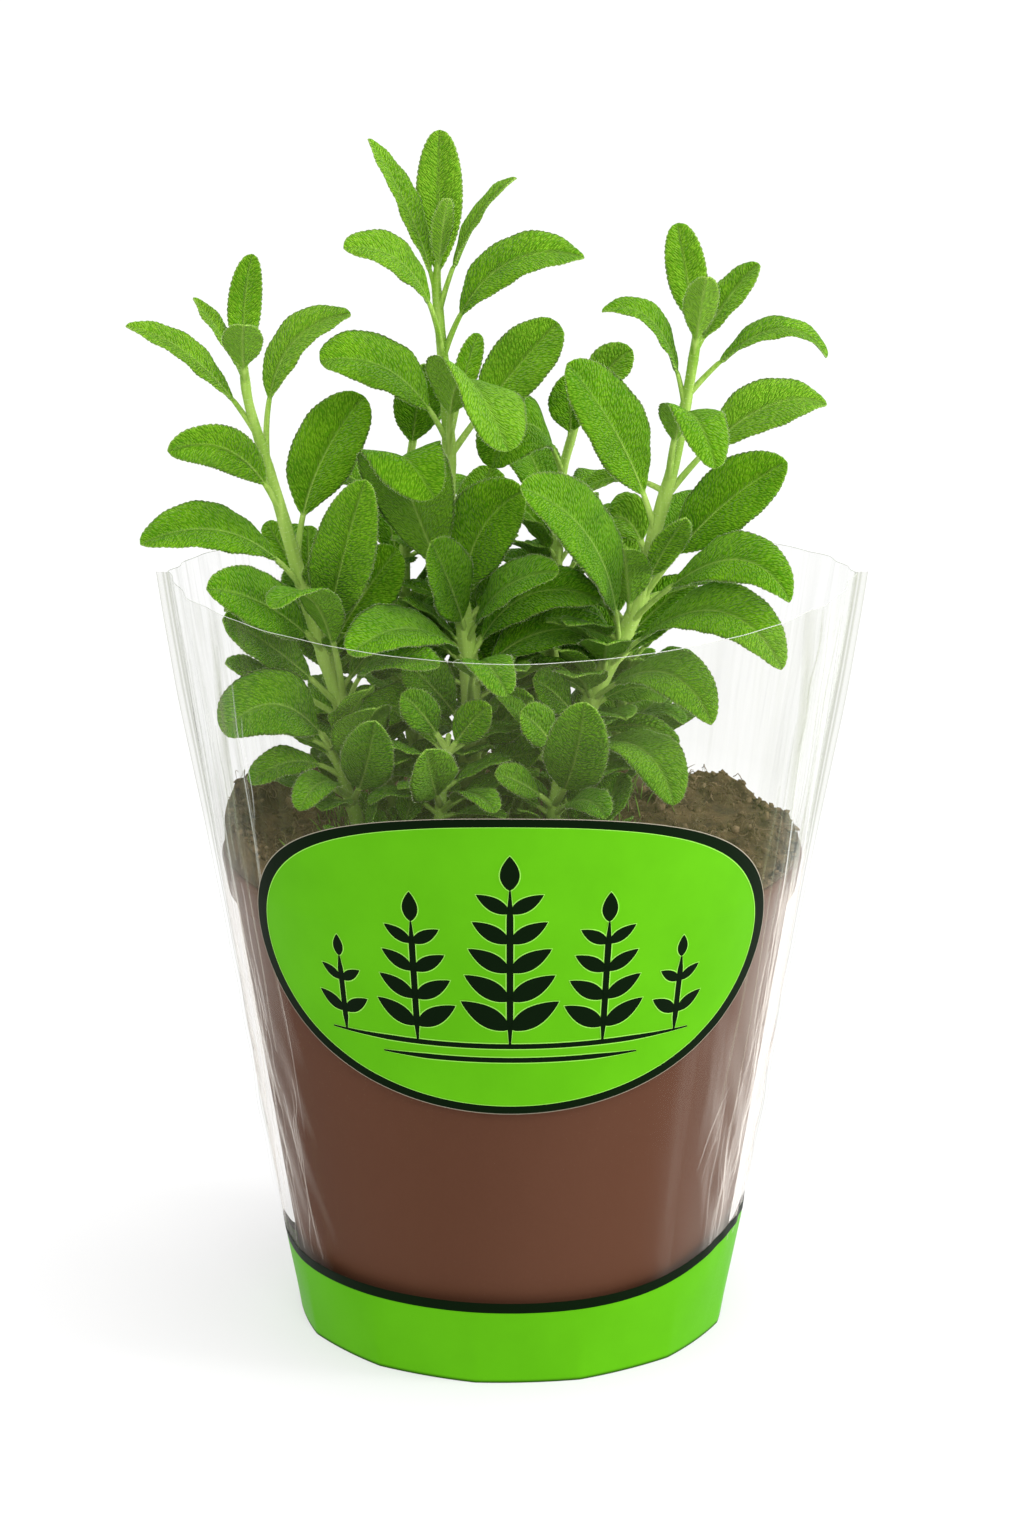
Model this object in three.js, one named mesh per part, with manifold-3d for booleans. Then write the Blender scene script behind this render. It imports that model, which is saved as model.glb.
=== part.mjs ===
// Potted sage: young sage plants in a plastic nursery pot, standing in a clear film sleeve.
// Millimetres, +Z up, origin at the middle of the pot's underside, the sleeve's front towards -Y.

import * as THREE from 'three';
import { mergeVertices } from 'three/addons/utils/BufferGeometryUtils.js';
import Module from 'manifold-3d';

const wasm = await Module();
wasm.setup();
const MERGE_DISTANCE = 1e-4;
const HEIGHT_SEARCH_STEPS = 24;

// Pot
const POT_HEIGHT = 119;
const POT_BASE_RADIUS = 50;
const POT_RIM_RADIUS = 70;
const POT_RIM_DEPTH = 9;
const POT_RIM_STEP = 1.3;
const POT_WALL = 1.5;
const POT_FLOOR = 2.2;
const POT_FOOT_CHAMFER = 1.5;
const POT_RIM_SLOPE = 0.6;
const POT_LIP_INSET = 0.2;
const POT_LIP_BEVEL = 0.8;
const POT_SIDES = 40;
const DRAIN_HOLES = 6;
const DRAIN_RADIUS = 4;
const DRAIN_CIRCLE = 35;
const DRAIN_SIDES = 8;

// Clearance between pieces that touch on the real thing, and how far a cut runs past a face
const GAP = 0.35;
const OVERCUT = 1;

// Soil
const SOIL_TOP = 120;
const SOIL_HEAP = 3;
const SOIL_LUMP = 1.4;
const SOIL_LUMP_PITCH = 7.5;
const SOIL_CRUMB = 0.7;
const SOIL_CRUMB_PITCH = 1.3;
const SOIL_SHOULDER = 114;
const SOIL_RINGS = 5;
const SOIL_SIDES = 40;

// Sleeve
const FILM = 0.7;
const SLEEVE_HEIGHT = 187;
const SLEEVE_SLACK = 0.45;
const SLEEVE_MOUTH_HALF = 80.5;
const SLEEVE_MOUTH_FRONT = 76;
const SLEEVE_MOUTH_BACK = 46;
const SLEEVE_CORNER_POWER = 1.75;
const SLEEVE_SIDES = 40;
const SLEEVE_LEVELS = [0, POT_HEIGHT, 134, 151, 168, SLEEVE_HEIGHT];
const SEAM_REACH = 3;
const SEAM_THICK = 1.2;

// Stems and leaves
const ROOT_BOTTOM = 98;
const ROOT_TOP = 127;
const STEM_SIDES = 6;
const STEM_STEP = 17;
const FEWEST_STEPS = 3;
const STEM_TIP_SHARE = 0.4;
const HOLE_SIDES = 8;
const HOLE_TOP = 137;
const STALK_HALF_WIDTH = 1.0;
const STALK_HALF_THICK = 0.8;
const BLADE_HALF_THICK = 0.37;
const BLADE_STATIONS = [0.03, 0.17, 0.38, 0.6, 0.8, 0.94, 1];
const BLADE_FULLNESS = 0.5;
const BLADE_WIDEST = 0.98;
const TIP_SHARE = 0.34;
const MARGIN_TOOTH = 0.03;
const MARGIN_WAVE = 0.09;
const MARGIN_TURNS = [11, 10];
const MARGIN_LAG = 2;
const STALK_END_SHARE = 0.8;
const USUAL_RISE = 3;
const USUAL_STALK = 0.27;
const USUAL_FOLD = 0.2;
const INWARD_LEAN = 0.6;

const COLOURS = {
  pot: 0x62412f,
  soil: 0x3a2d22,
  film: 0xeef2ee,
  leaf: 0x5f9a2a,
};

// A stem: the radius at its foot and the points that its axis runs through.
// A leaf: the height where it leaves the stem, where its tip is, how wide the blade is, and
// optionally the way its upper face looks, the point that its midrib bends towards, and how much
// of its length is stalk.
const LEFT_STEM = {
  name: 'stem_left',
  radius: 2.4,
  path: [[-28, 3, ROOT_TOP], [-33, 1, 137], [-39, 0, 149], [-43, 0, 161], [-47, 0, 174], [-51, -1, 188],
    [-55, -3, 204], [-59, -5, 219], [-62, -7, 231], [-63, -8, 241]],
  leaves: [
    { at: 237, tip: [-61, 6, 263], wide: 8, up: [0, -1, 0.2], via: [-64, 4, 252], stalk: 0.12 },
    { at: 236, tip: [-75, 4, 253], wide: 7, up: [0.7, -0.4, 0.6], stalk: 0.15 },
    { at: 235, tip: [-62, -24, 253], wide: 9.5, up: [0, 0.7, 0.7], via: [-63, -16, 246], stalk: 0.25 },
    { at: 221, tip: [-90, -12, 250], wide: 9, up: [0.5, -0.5, 0.8], via: [-73, -9, 246], stalk: 0.25 },
    { at: 214, tip: [-38, 4, 249], wide: 12, up: [-0.5, -0.6, 0.6], via: [-60, 0, 247], stalk: 0.34 },
    { at: 200, tip: [-80, -24, 223], wide: 10.5, up: [0.1, -0.9, 0.3], via: [-63, -14, 228] },
    { at: 188, tip: [-35, 8, 228], wide: 17, up: [-0.3, -0.9, 0.3], via: [-51, 4, 210], stalk: 0.28 },
    { at: 182, tip: [-87, -22, 200], wide: 14, up: [0.1, -0.6, 0.8], via: [-64, -14, 209], stalk: 0.24 },
    { at: 167, tip: [-34, -24, 216], wide: 15, up: [-0.1, -0.9, 0.3], via: [-41, -19, 194], stalk: 0.18 },
    { at: 152, tip: [-56, -38, 189], wide: 12, via: [-43, -26, 200], stalk: 0.4 },
    { at: 180, tip: [-59, 12, 196], wide: 7, up: [0, -0.9, 0.3] },
    { at: 179, tip: [-49, 16, 194], wide: 7, up: [0, -0.9, 0.3] },
    { at: 167, tip: [-71, -32, 192], wide: 15, up: [0, -0.8, 0.6], via: [-58, -22, 189], stalk: 0.2 },
    { at: 152, tip: [-68, -20, 181], wide: 13, up: [0, -0.7, 0.7], via: [-56, -10, 173], stalk: 0.3 },
    { at: 149, tip: [-68, -12, 168], wide: 8, up: [0, -0.5, 0.85], stalk: 0.5 },
    { at: 150, tip: [-17, -28, 172], wide: 11, up: [0, -0.5, 0.9], via: [-38, -22, 177], stalk: 0.42 },
    { at: 148, tip: [-57, 10, 149], wide: 11, up: [0, -0.5, 0.9], via: [-48, 6, 156] },
    { at: 166, tip: [-27, 2, 192], wide: 15, up: [0, -0.8, 0.5], stalk: 0.2 },
    { at: 156, tip: [-53, 30, 180], wide: 13, stalk: 0.3 },
    { at: 174, tip: [-54, 28, 191], wide: 12, stalk: 0.3 },
  ],
};

const CENTRE_STEM = {
  name: 'stem_centre',
  radius: 2.6,
  path: [[-11, 8, ROOT_TOP], [-10, 7, 143], [-10, 6, 156], [-11, 6, 169], [-13, 5, 183], [-15, 4, 200],
    [-15, 4, 218], [-16, 4, 234], [-17, 4, 246], [-18, 4, 258]],
  leaves: [
    { at: 253, tip: [-17, 14, 291], wide: 11, up: [0, -1, 0.2], via: [-17, 8, 274], stalk: 0.14 },
    { at: 252, tip: [-33, 3, 289], wide: 9, up: [0.8, -0.5, 0.3], via: [-22, 2, 274], stalk: 0.16 },
    { at: 257, tip: [-15, -6, 279], wide: 5, stalk: 0.2 },
    { at: 249, tip: [1, -2, 283], wide: 9, up: [-0.7, -0.2, 0.6], via: [-11, -1, 275], stalk: 0.3 },
    { at: 238, tip: [-39, -14, 269], wide: 11, up: [0.3, -0.6, 0.8], via: [-20, -8, 270], stalk: 0.34 },
    { at: 238, tip: [17, 2, 261], wide: 14, up: [-0.4, -0.7, 0.7], via: [-7, 0, 270], stalk: 0.24 },
    { at: 217, tip: [-45, -6, 240], wide: 16, up: [0.3, -0.6, 0.7], via: [-26, -3, 244], stalk: 0.25 },
    { at: 213, tip: [-1, -32, 225], wide: 20, up: [0.4, 0.3, 0.8], via: [-15, -16, 257], stalk: 0.26 },
    { at: 218, tip: [-8, 18, 241], wide: 6, up: [0, -0.9, 0.3], stalk: 0.3 },
    { at: 214, tip: [11, 16, 244], wide: 15, up: [-0.3, -0.9, 0.3], stalk: 0.3 },
    { at: 172, tip: [-18, -25, 212], wide: 21, up: [0, 0.7, 0.6], via: [-37, -12, 239], stalk: 0.24 },
    { at: 176, tip: [3, -8, 209], wide: 18, up: [-0.3, -0.9, 0.3], via: [-11, -2, 201], stalk: 0.15 },
    { at: 170, tip: [-19, -20, 200], wide: 14, up: [0.2, -0.8, 0.5], via: [-14, -9, 186], stalk: 0.15 },
    { at: 167, tip: [11, -18, 192], wide: 13, up: [-0.2, -0.6, 0.8], via: [-5, -11, 190], stalk: 0.2 },
    { at: 161, tip: [-38, -32, 176], wide: 16, up: [0, -0.6, 0.85], via: [-22, -20, 187], stalk: 0.15 },
    { at: 150, tip: [-1, -42, 169], wide: 12, up: [0, -0.4, 1], via: [-10, -34, 185], stalk: 0.4 },
    { at: 162, tip: [21, 0, 180], wide: 14, up: [0, -0.6, 0.8], via: [0, -2, 190], stalk: 0.18 },
    { at: 157, tip: [25, 14, 166], wide: 15, up: [0, -0.5, 0.9], via: [5, 10, 176], stalk: 0.18 },
    { at: 140, tip: [-38, -8, 149], wide: 13, up: [0, -0.5, 0.9], via: [-22, -6, 165], stalk: 0.2 },
    { at: 178, tip: [-5, 26, 206], wide: 13, up: [0, -0.9, 0.3], stalk: 0.25 },
    { at: 144, tip: [-26, -10, 168], wide: 13, up: [0.2, -0.8, 0.4] },
    { at: 138, tip: [5, -8, 158], wide: 12, up: [-0.2, -0.8, 0.4] },
    { at: 133, tip: [7, -4, 143], wide: 10, up: [0, -0.7, 0.6] },
  ],
};

const RIGHT_STEM = {
  name: 'stem_right',
  radius: 2.5,
  path: [[11, 12, ROOT_TOP], [15, 10, 140], [20, 8, 155], [26, 6, 168], [31, 5, 180], [34, 3, 196],
    [38, 1, 212], [41, 0, 228], [43, -2, 242], [44, -2, 249]],
  leaves: [
    { at: 244, tip: [39, 8, 270], wide: 9.5, up: [0, -1, 0.2], stalk: 0.12 },
    { at: 240, tip: [45, -18, 263], wide: 8, up: [0, 0.8, 0.6], stalk: 0.2 },
    { at: 241, tip: [58, 5, 261], wide: 10, up: [-0.6, -0.6, 0.5], stalk: 0.14 },
    { at: 227, tip: [21, -6, 252], wide: 9, up: [0.3, -0.4, 0.8], via: [36, -4, 257], stalk: 0.24 },
    { at: 230, tip: [74, -2, 240], wide: 10, up: [-0.1, -0.3, 1], via: [63, -1, 257], stalk: 0.26 },
    { at: 204, tip: [75, 12, 225], wide: 14, up: [-0.2, -0.7, 0.7], via: [58, 7, 233], stalk: 0.32 },
    { at: 208, tip: [47, -36, 222], wide: 13, up: [0.2, -0.2, 1], via: [39, -22, 247], stalk: 0.3 },
    { at: 196, tip: [13, -12, 241], wide: 17, up: [0.4, -0.8, 0.4], via: [28, -8, 222], stalk: 0.22 },
    { at: 176, tip: [65, -4, 215], wide: 17, up: [-0.4, -0.8, 0.4], via: [45, -2, 204], stalk: 0.34 },
    { at: 172, tip: [65, -26, 187], wide: 14, up: [0.1, -0.7, 0.7], via: [54, -18, 208], stalk: 0.3 },
    { at: 180, tip: [41, -10, 203], wide: 8, up: [0.3, -0.9, 0.3], stalk: 0.2 },
    { at: 164, tip: [44, 18, 180], wide: 11, up: [0, -0.6, 0.8] },
    { at: 160, tip: [63, -34, 173], wide: 16, up: [0, -0.6, 0.8], via: [49, -20, 198], stalk: 0.22 },
    { at: 167, tip: [2, -34, 217], wide: 18, up: [0.4, -0.7, 0.5], via: [24, -22, 206], stalk: 0.18 },
    { at: 206, tip: [15, 8, 204], wide: 8, up: [0, -0.3, 1], via: [25, 4, 213] },
    { at: 188, tip: [21, 14, 194], wide: 13, up: [0, -0.8, 0.6], via: [28, 12, 203] },
    { at: 152, tip: [47, -26, 157], wide: 14, up: [0, -0.6, 0.8], via: [38, -16, 177], stalk: 0.22 },
    { at: 149, tip: [37, 6, 153], wide: 11, up: [0, -0.5, 0.9], via: [30, 6, 161] },
    { at: 138, tip: [38, -32, 139], wide: 15, up: [0.2, -0.6, 0.8], via: [33, -20, 158], stalk: 0.22 },
    { at: 141, tip: [40, 2, 143], wide: 7, up: [0, -0.5, 0.9], via: [30, 5, 152] },
    { at: 186, tip: [46, 32, 198], wide: 13, stalk: 0.3 },
    { at: 158, tip: [48, 30, 174], wide: 13, stalk: 0.25 },
    { at: 146, tip: [5, 1, 160], wide: 11, up: [0.2, -0.7, 0.6] },
  ],
};

const BACK_RIGHT_STEM = {
  name: 'stem_back_right',
  radius: 2.1,
  path: [[4, 24, ROOT_TOP], [9, 26, 147], [10, 27, 165], [11, 27, 185], [12, 28, 203], [15, 28, 215],
    [18, 29, 225]],
  leaves: [
    { at: 221, tip: [29, 30, 234], wide: 11, up: [-0.2, -0.7, 0.6], stalk: 0.15 },
    { at: 212, tip: [14, 23, 230], wide: 11, up: [0.1, -0.9, 0.3], stalk: 0.12 },
    { at: 204, tip: [-5, 10, 210], wide: 16, up: [-0.1, -0.8, 0.6], via: [4, 18, 230], stalk: 0.2 },
    { at: 214, tip: [20, 54, 222], wide: 12 },
    { at: 192, tip: [28, 56, 194], wide: 14, via: [22, 42, 203] },
    { at: 186, tip: [2, 58, 203], wide: 14, via: [6, 44, 206] },
    { at: 174, tip: [33, 40, 192], wide: 13, via: [22, 34, 192] },
    { at: 145, tip: [-7, 26, 164], wide: 13, up: [0, -0.8, 0.5], via: [0, 24, 160] },
    { at: 150, tip: [23, 20, 166], wide: 13, up: [0, -0.8, 0.5] },
    { at: 134, tip: [-4, 16, 150], wide: 12, up: [0, -0.8, 0.5] },
  ],
};

const BACK_LEFT_STEM = {
  name: 'stem_back_left',
  radius: 2.1,
  path: [[-22, 26, ROOT_TOP], [-25, 28, 145], [-26, 29, 165], [-26, 30, 185], [-25, 30, 204],
    [-24, 30, 212]],
  leaves: [
    { at: 206, tip: [-21, 24, 232], wide: 12, up: [0.2, -0.9, 0.3], stalk: 0.2 },
    { at: 198, tip: [-44, 36, 205], wide: 11, via: [-34, 32, 210] },
    { at: 206, tip: [-20, 54, 214], wide: 12, via: [-22, 44, 218] },
    { at: 188, tip: [-50, 50, 199], wide: 14, via: [-38, 40, 204] },
    { at: 186, tip: [-8, 46, 196], wide: 13, via: [-16, 40, 202] },
    { at: 170, tip: [-34, 48, 200], wide: 12, via: [-29, 34, 190] },
    { at: 156, tip: [-50, 26, 164], wide: 13, via: [-40, 27, 170] },
    { at: 146, tip: [-14, 38, 162], wide: 12, via: [-18, 34, 160] },
    { at: 150, tip: [-36, 12, 166], wide: 12, up: [0.1, -0.8, 0.5] },
    { at: 136, tip: [-22, 8, 152], wide: 12, up: [0, -0.8, 0.5] },
  ],
};

const LEFT_SHOOT = {
  name: 'shoot_left',
  radius: 1.7,
  path: [[-37, -8, ROOT_TOP], [-39, -10, 134], [-42, -12, 144], [-45, -14, 151]],
  leaves: [
    { at: 147, tip: [-68, -26, 155], wide: 17, up: [-0.1, -0.8, 0.6], via: [-55, -26, 171], stalk: 0.16 },
    { at: 139, tip: [-62, -22, 141], wide: 9, up: [-0.1, -0.6, 0.8], via: [-52, -17, 150] },
    { at: 134, tip: [-50, -36, 139], wide: 9, up: [0, -0.6, 0.8], via: [-45, -26, 148] },
    { at: 132, tip: [-32, -36, 161], wide: 13, up: [0, -0.9, 0.35], via: [-34, -28, 145] },
  ],
};

const FRONT_SHOOT = {
  name: 'shoot_front',
  radius: 1.6,
  path: [[-17, -16, ROOT_TOP], [-17, -17, 134], [-16, -18, 144], [-15, -18, 152]],
  leaves: [
    { at: 134, tip: [-20, -46, 157], wide: 13, up: [0, -0.8, 0.5], via: [-19, -38, 146] },
    { at: 148, tip: [-26, -24, 164], wide: 9, up: [0, -0.8, 0.5] },
    { at: 146, tip: [-5, -24, 161], wide: 9, up: [0, -0.8, 0.5] },
    { at: 131, tip: [-34, -22, 136], wide: 8, via: [-27, -20, 142] },
    { at: 132, tip: [-4, -38, 139], wide: 9, via: [-10, -30, 146] },
  ],
};

const FRONT_RIGHT_SHOOT = {
  name: 'shoot_front_right',
  radius: 1.6,
  path: [[10, -14, ROOT_TOP], [10, -16, 134], [11, -17, 142], [12, -18, 149]],
  leaves: [
    { at: 134, tip: [17, -44, 168], wide: 15, up: [0, -0.9, 0.35], via: [15, -38, 147] },
    { at: 146, tip: [2, -26, 160], wide: 10, up: [0, -0.7, 0.6] },
    { at: 131, tip: [22, -36, 137], wide: 9, up: [0, -0.6, 0.8], via: [18, -28, 143] },
    { at: 141, tip: [22, -20, 152], wide: 8, up: [0, -0.8, 0.5] },
    { at: 133, tip: [-4, -30, 146], wide: 8, up: [0, -0.7, 0.6] },
  ],
};

const BACK_SHOOT = {
  name: 'shoot_back',
  radius: 1.7,
  path: [[24, 30, ROOT_TOP], [26, 31, 138], [28, 31, 150], [29, 32, 158]],
  leaves: [
    { at: 154, tip: [46, 32, 166], wide: 11, via: [38, 32, 168] },
    { at: 153, tip: [16, 44, 166], wide: 11, via: [22, 40, 168] },
    { at: 142, tip: [32, 46, 154], wide: 11, via: [30, 40, 156] },
    { at: 136, tip: [42, 26, 141], wide: 10, via: [36, 30, 147] },
  ],
};

const STEMS = [LEFT_STEM, CENTRE_STEM, RIGHT_STEM, BACK_RIGHT_STEM, BACK_LEFT_STEM, LEFT_SHOOT,
  FRONT_SHOOT, FRONT_RIGHT_SHOOT, BACK_SHOOT];

const vector = (xyz) => new THREE.Vector3(...xyz);
const lerp = THREE.MathUtils.lerp;

// Solids

function toSolid(geometry) {
  const bare = geometry.clone();
  bare.deleteAttribute('normal');
  bare.deleteAttribute('uv');
  const merged = mergeVertices(bare, MERGE_DISTANCE);
  const vertProperties = new Float32Array(merged.attributes.position.array);
  const triVerts = new Uint32Array(merged.index.array);
  return new wasm.Manifold(new wasm.Mesh({ numProp: 3, vertProperties, triVerts }));
}

function toGeometry(solid) {
  const mesh = solid.getMesh();
  const geometry = new THREE.BufferGeometry();
  geometry.setAttribute('position', new THREE.BufferAttribute(mesh.vertProperties, mesh.numProp));
  geometry.setIndex(new THREE.BufferAttribute(mesh.triVerts, 1));
  return geometry;
}

// Fused pieces can seal small pockets and cut off crumbs: only the outer body is kept.
function largestBody(solid) {
  const bodies = solid.decompose();
  return bodies.reduce((best, body) => (body.volume() > best.volume() ? body : best));
}

function closedBody(points, index) {
  const positions = points.flatMap((point) => [point.x, point.y, point.z]);
  const geometry = new THREE.BufferGeometry();
  geometry.setAttribute('position', new THREE.Float32BufferAttribute(positions, 3));
  geometry.setIndex(index);
  return toSolid(geometry);
}

// A closed body through rings of points, all running the same way round, fanned shut at both ends.
function loft(rings) {
  const count = rings[0].length;
  const index = [];
  for (let i = 0; i < rings.length - 1; i += 1) {
    for (let j = 0; j < count; j += 1) {
      const a = i * count + j;
      const b = i * count + (j + 1) % count;
      index.push(a, b, b + count, a, b + count, a + count);
    }
  }
  const last = (rings.length - 1) * count;
  for (let j = 1; j < count - 1; j += 1) {
    index.push(0, j + 1, j);
    index.push(last, last + j, last + j + 1);
  }
  return closedBody(rings.flat(), index);
}

function lathe(profile, sides) {
  const points = profile.map(([radius, height]) => new THREE.Vector2(radius, height));
  return toSolid(new THREE.LatheGeometry(points, sides).rotateX(Math.PI / 2));
}

function upright(radius, bottom, top, sides, x, y) {
  const height = top - bottom;
  const geometry = new THREE.CylinderGeometry(radius, radius, height, sides).rotateX(Math.PI / 2);
  return toSolid(geometry.translate(x, y, bottom + height / 2));
}

// Pot

const potTaper = (POT_RIM_RADIUS - POT_RIM_STEP - POT_BASE_RADIUS) / POT_HEIGHT;
const potOuter = (height) => POT_BASE_RADIUS + potTaper * height;
const potInner = (height) => potOuter(height) - POT_WALL;

function potSolid() {
  const rimFoot = POT_HEIGHT - POT_RIM_DEPTH;
  const profile = [
    [0, 0],
    [POT_BASE_RADIUS - POT_FOOT_CHAMFER, 0],
    [POT_BASE_RADIUS, POT_FOOT_CHAMFER],
    [potOuter(rimFoot), rimFoot],
    [potOuter(rimFoot) + POT_RIM_STEP, rimFoot + POT_RIM_SLOPE],
    [POT_RIM_RADIUS - POT_LIP_INSET, POT_HEIGHT - POT_LIP_BEVEL],
    [POT_RIM_RADIUS - POT_LIP_BEVEL, POT_HEIGHT],
    [potInner(POT_HEIGHT), POT_HEIGHT],
    [potInner(POT_FLOOR), POT_FLOOR],
    [0, POT_FLOOR],
  ];
  let pot = lathe(profile, POT_SIDES);
  for (let i = 0; i < DRAIN_HOLES; i += 1) {
    const angle = (i + 0.5) * 2 * Math.PI / DRAIN_HOLES;
    const x = DRAIN_CIRCLE * Math.cos(angle);
    const y = DRAIN_CIRCLE * Math.sin(angle);
    pot = pot.subtract(upright(DRAIN_RADIUS, -OVERCUT, POT_FLOOR + OVERCUT, DRAIN_SIDES, x, y));
  }
  return pot;
}

// Soil

// The surface is lumpy with small crumbs, and heaped a little higher towards -X.
function soilHeight(x, y) {
  const hills = Math.sin(x / SOIL_LUMP_PITCH + 1) * Math.cos(y / SOIL_LUMP_PITCH);
  const ridges = Math.sin((x - y) / SOIL_LUMP_PITCH) / 2;
  const crumbs = Math.sin((x + y / 2) / SOIL_CRUMB_PITCH) * Math.sin((y - x / 2) / SOIL_CRUMB_PITCH);
  const heap = SOIL_HEAP * (Math.min(0, x) / POT_RIM_RADIUS) ** 2;
  return SOIL_TOP + SOIL_LUMP * (hills + ridges) + SOIL_CRUMB * crumbs + heap;
}

function soilRing(radius, heightAt) {
  return Array.from({ length: SOIL_SIDES }, (_, j) => {
    const angle = j * 2 * Math.PI / SOIL_SIDES;
    const x = radius * Math.cos(angle);
    const y = radius * Math.sin(angle);
    return new THREE.Vector3(x, y, heightAt(x, y));
  });
}

function soilSolid() {
  const bottom = POT_FLOOR + GAP;
  const edge = potInner(SOIL_SHOULDER) - GAP;
  const rings = [
    soilRing(potInner(bottom) - GAP, () => bottom),
    soilRing(edge, () => SOIL_SHOULDER),
  ];
  for (let i = 0; i < SOIL_RINGS; i += 1) {
    rings.push(soilRing(edge * Math.cos(i / SOIL_RINGS * Math.PI / 2), soilHeight));
  }
  let soil = loft(rings);
  for (const { path, radius } of STEMS) {
    const [x, y] = path[0];
    soil = soil.subtract(upright(radius + GAP, ROOT_BOTTOM - GAP, HOLE_TOP, HOLE_SIDES, x, y));
  }
  return largestBody(soil);
}

// Sleeve

// How far the film stands from the axis at a height: round over the pot, and above the rim
// spread sideways and pressed flatter at the back, as two sheets welded along their sides are.
function sleeveReach(height, grow) {
  const hug = potOuter(Math.min(height, POT_HEIGHT)) + POT_RIM_STEP + SLEEVE_SLACK;
  const share = Math.max(0, height - POT_HEIGHT) / (SLEEVE_HEIGHT - POT_HEIGHT);
  return {
    half: lerp(hug, SLEEVE_MOUTH_HALF, share) + grow,
    front: lerp(hug, SLEEVE_MOUTH_FRONT, share) + grow,
    back: lerp(hug, SLEEVE_MOUTH_BACK, THREE.MathUtils.smoothstep(share, 0, 1)) + grow,
    power: lerp(2, SLEEVE_CORNER_POWER, share),
  };
}

function sleeveRing(height, grow) {
  const { half, front, back, power } = sleeveReach(height, grow);
  return Array.from({ length: SLEEVE_SIDES }, (_, j) => {
    const angle = j * 2 * Math.PI / SLEEVE_SIDES;
    const x = half * Math.cos(angle);
    const depth = (1 - Math.abs(Math.cos(angle)) ** power) ** (1 / power);
    const y = Math.sin(angle) < 0 ? -front * depth : back * depth;
    return new THREE.Vector3(x, y, height);
  });
}

function seamSolid(side) {
  const rings = SLEEVE_LEVELS.map((height) => {
    const { half } = sleeveReach(height, 0);
    const inner = side * (half + FILM / 2);
    const outer = side * (half + FILM + SEAM_REACH);
    const y = SEAM_THICK / 2;
    const ring = [[inner, -y], [outer, -y], [outer, y], [inner, y]];
    return (side > 0 ? ring : ring.reverse()).map(([px, py]) => new THREE.Vector3(px, py, height));
  });
  return loft(rings);
}

function sleeveSolid() {
  const outer = loft(SLEEVE_LEVELS.map((height) => sleeveRing(height, FILM)));
  const lowest = sleeveRing(0, 0).map((point) => point.setZ(-OVERCUT));
  const highest = sleeveRing(SLEEVE_HEIGHT, 0).map((point) => point.setZ(SLEEVE_HEIGHT + OVERCUT));
  const between = SLEEVE_LEVELS.slice(1, -1).map((height) => sleeveRing(height, 0));
  const inner = loft([lowest, ...between, highest]);
  return outer.add(seamSolid(1)).add(seamSolid(-1)).subtract(inner);
}

// Stems and leaves

function stemCurve(stem) {
  return new THREE.CatmullRomCurve3(stem.path.map(vector), false, 'centripetal');
}

// The point of the stem's axis at a height, which always rises along the stem.
function stemPointAt(curve, height) {
  let low = 0;
  let high = 1;
  for (let i = 0; i < HEIGHT_SEARCH_STEPS; i += 1) {
    const middle = (low + high) / 2;
    if (curve.getPoint(middle).z < height) {
      low = middle;
    } else {
      high = middle;
    }
  }
  return curve.getPoint((low + high) / 2);
}

function circleAround(centre, tangent, radius, sides) {
  const across = new THREE.Vector3().crossVectors(new THREE.Vector3(0, 1, 0), tangent).normalize();
  const along = new THREE.Vector3().crossVectors(tangent, across);
  return Array.from({ length: sides }, (_, j) => {
    const angle = j * 2 * Math.PI / sides;
    return centre.clone()
      .addScaledVector(across, radius * Math.cos(angle))
      .addScaledVector(along, radius * Math.sin(angle));
  });
}

function stemSolid(stem) {
  const curve = stemCurve(stem);
  const steps = Math.max(FEWEST_STEPS, Math.round(curve.getLength() / STEM_STEP));
  const upwards = new THREE.Vector3(0, 0, 1);
  const root = vector(stem.path[0]).setZ(ROOT_BOTTOM);
  const rings = [circleAround(root, upwards, stem.radius, STEM_SIDES)];
  for (let i = 0; i <= steps; i += 1) {
    const t = i / steps;
    const tangent = i === 0 ? upwards : curve.getTangentAt(t);
    const radius = stem.radius * lerp(1, STEM_TIP_SHARE, t);
    rings.push(circleAround(curve.getPointAt(t), tangent, radius, STEM_SIDES));
  }
  return loft(rings);
}

// Half the blade's width at a share of its length: oblong, fullest near the middle, blunt at the tip.
function bladeHalfWidth(share, wide) {
  const swell = Math.sin(Math.PI * share ** BLADE_WIDEST) ** BLADE_FULLNESS;
  return Math.max(STALK_HALF_WIDTH * STALK_END_SHARE, TIP_SHARE * wide / 2 * share, wide / 2 * swell);
}

// Where the stations of a leaf are: its stalk, then the blade, with the half width, the half
// thickness, and the waves of the margin on each side.
function leafStations(leaf) {
  const stalk = leaf.stalk ?? USUAL_STALK;
  const stations = [{ t: 0, half: STALK_HALF_WIDTH, thick: STALK_HALF_THICK, left: 0, right: 0 }];
  BLADE_STATIONS.forEach((share, i) => {
    const tooth = 1 + MARGIN_TOOTH * (i % 2 ? 1 : -1);
    const half = bladeHalfWidth(share, leaf.wide) * tooth;
    const wave = MARGIN_WAVE * half * Math.sin(Math.PI * share);
    stations.push({
      t: lerp(stalk, 1, share),
      half,
      thick: i === 0 ? STALK_HALF_THICK * STALK_END_SHARE : BLADE_HALF_THICK,
      left: wave * Math.sin(MARGIN_TURNS[0] * share + leaf.at),
      right: wave * Math.sin(MARGIN_TURNS[1] * share + leaf.at + MARGIN_LAG),
    });
  });
  return stations;
}

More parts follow.
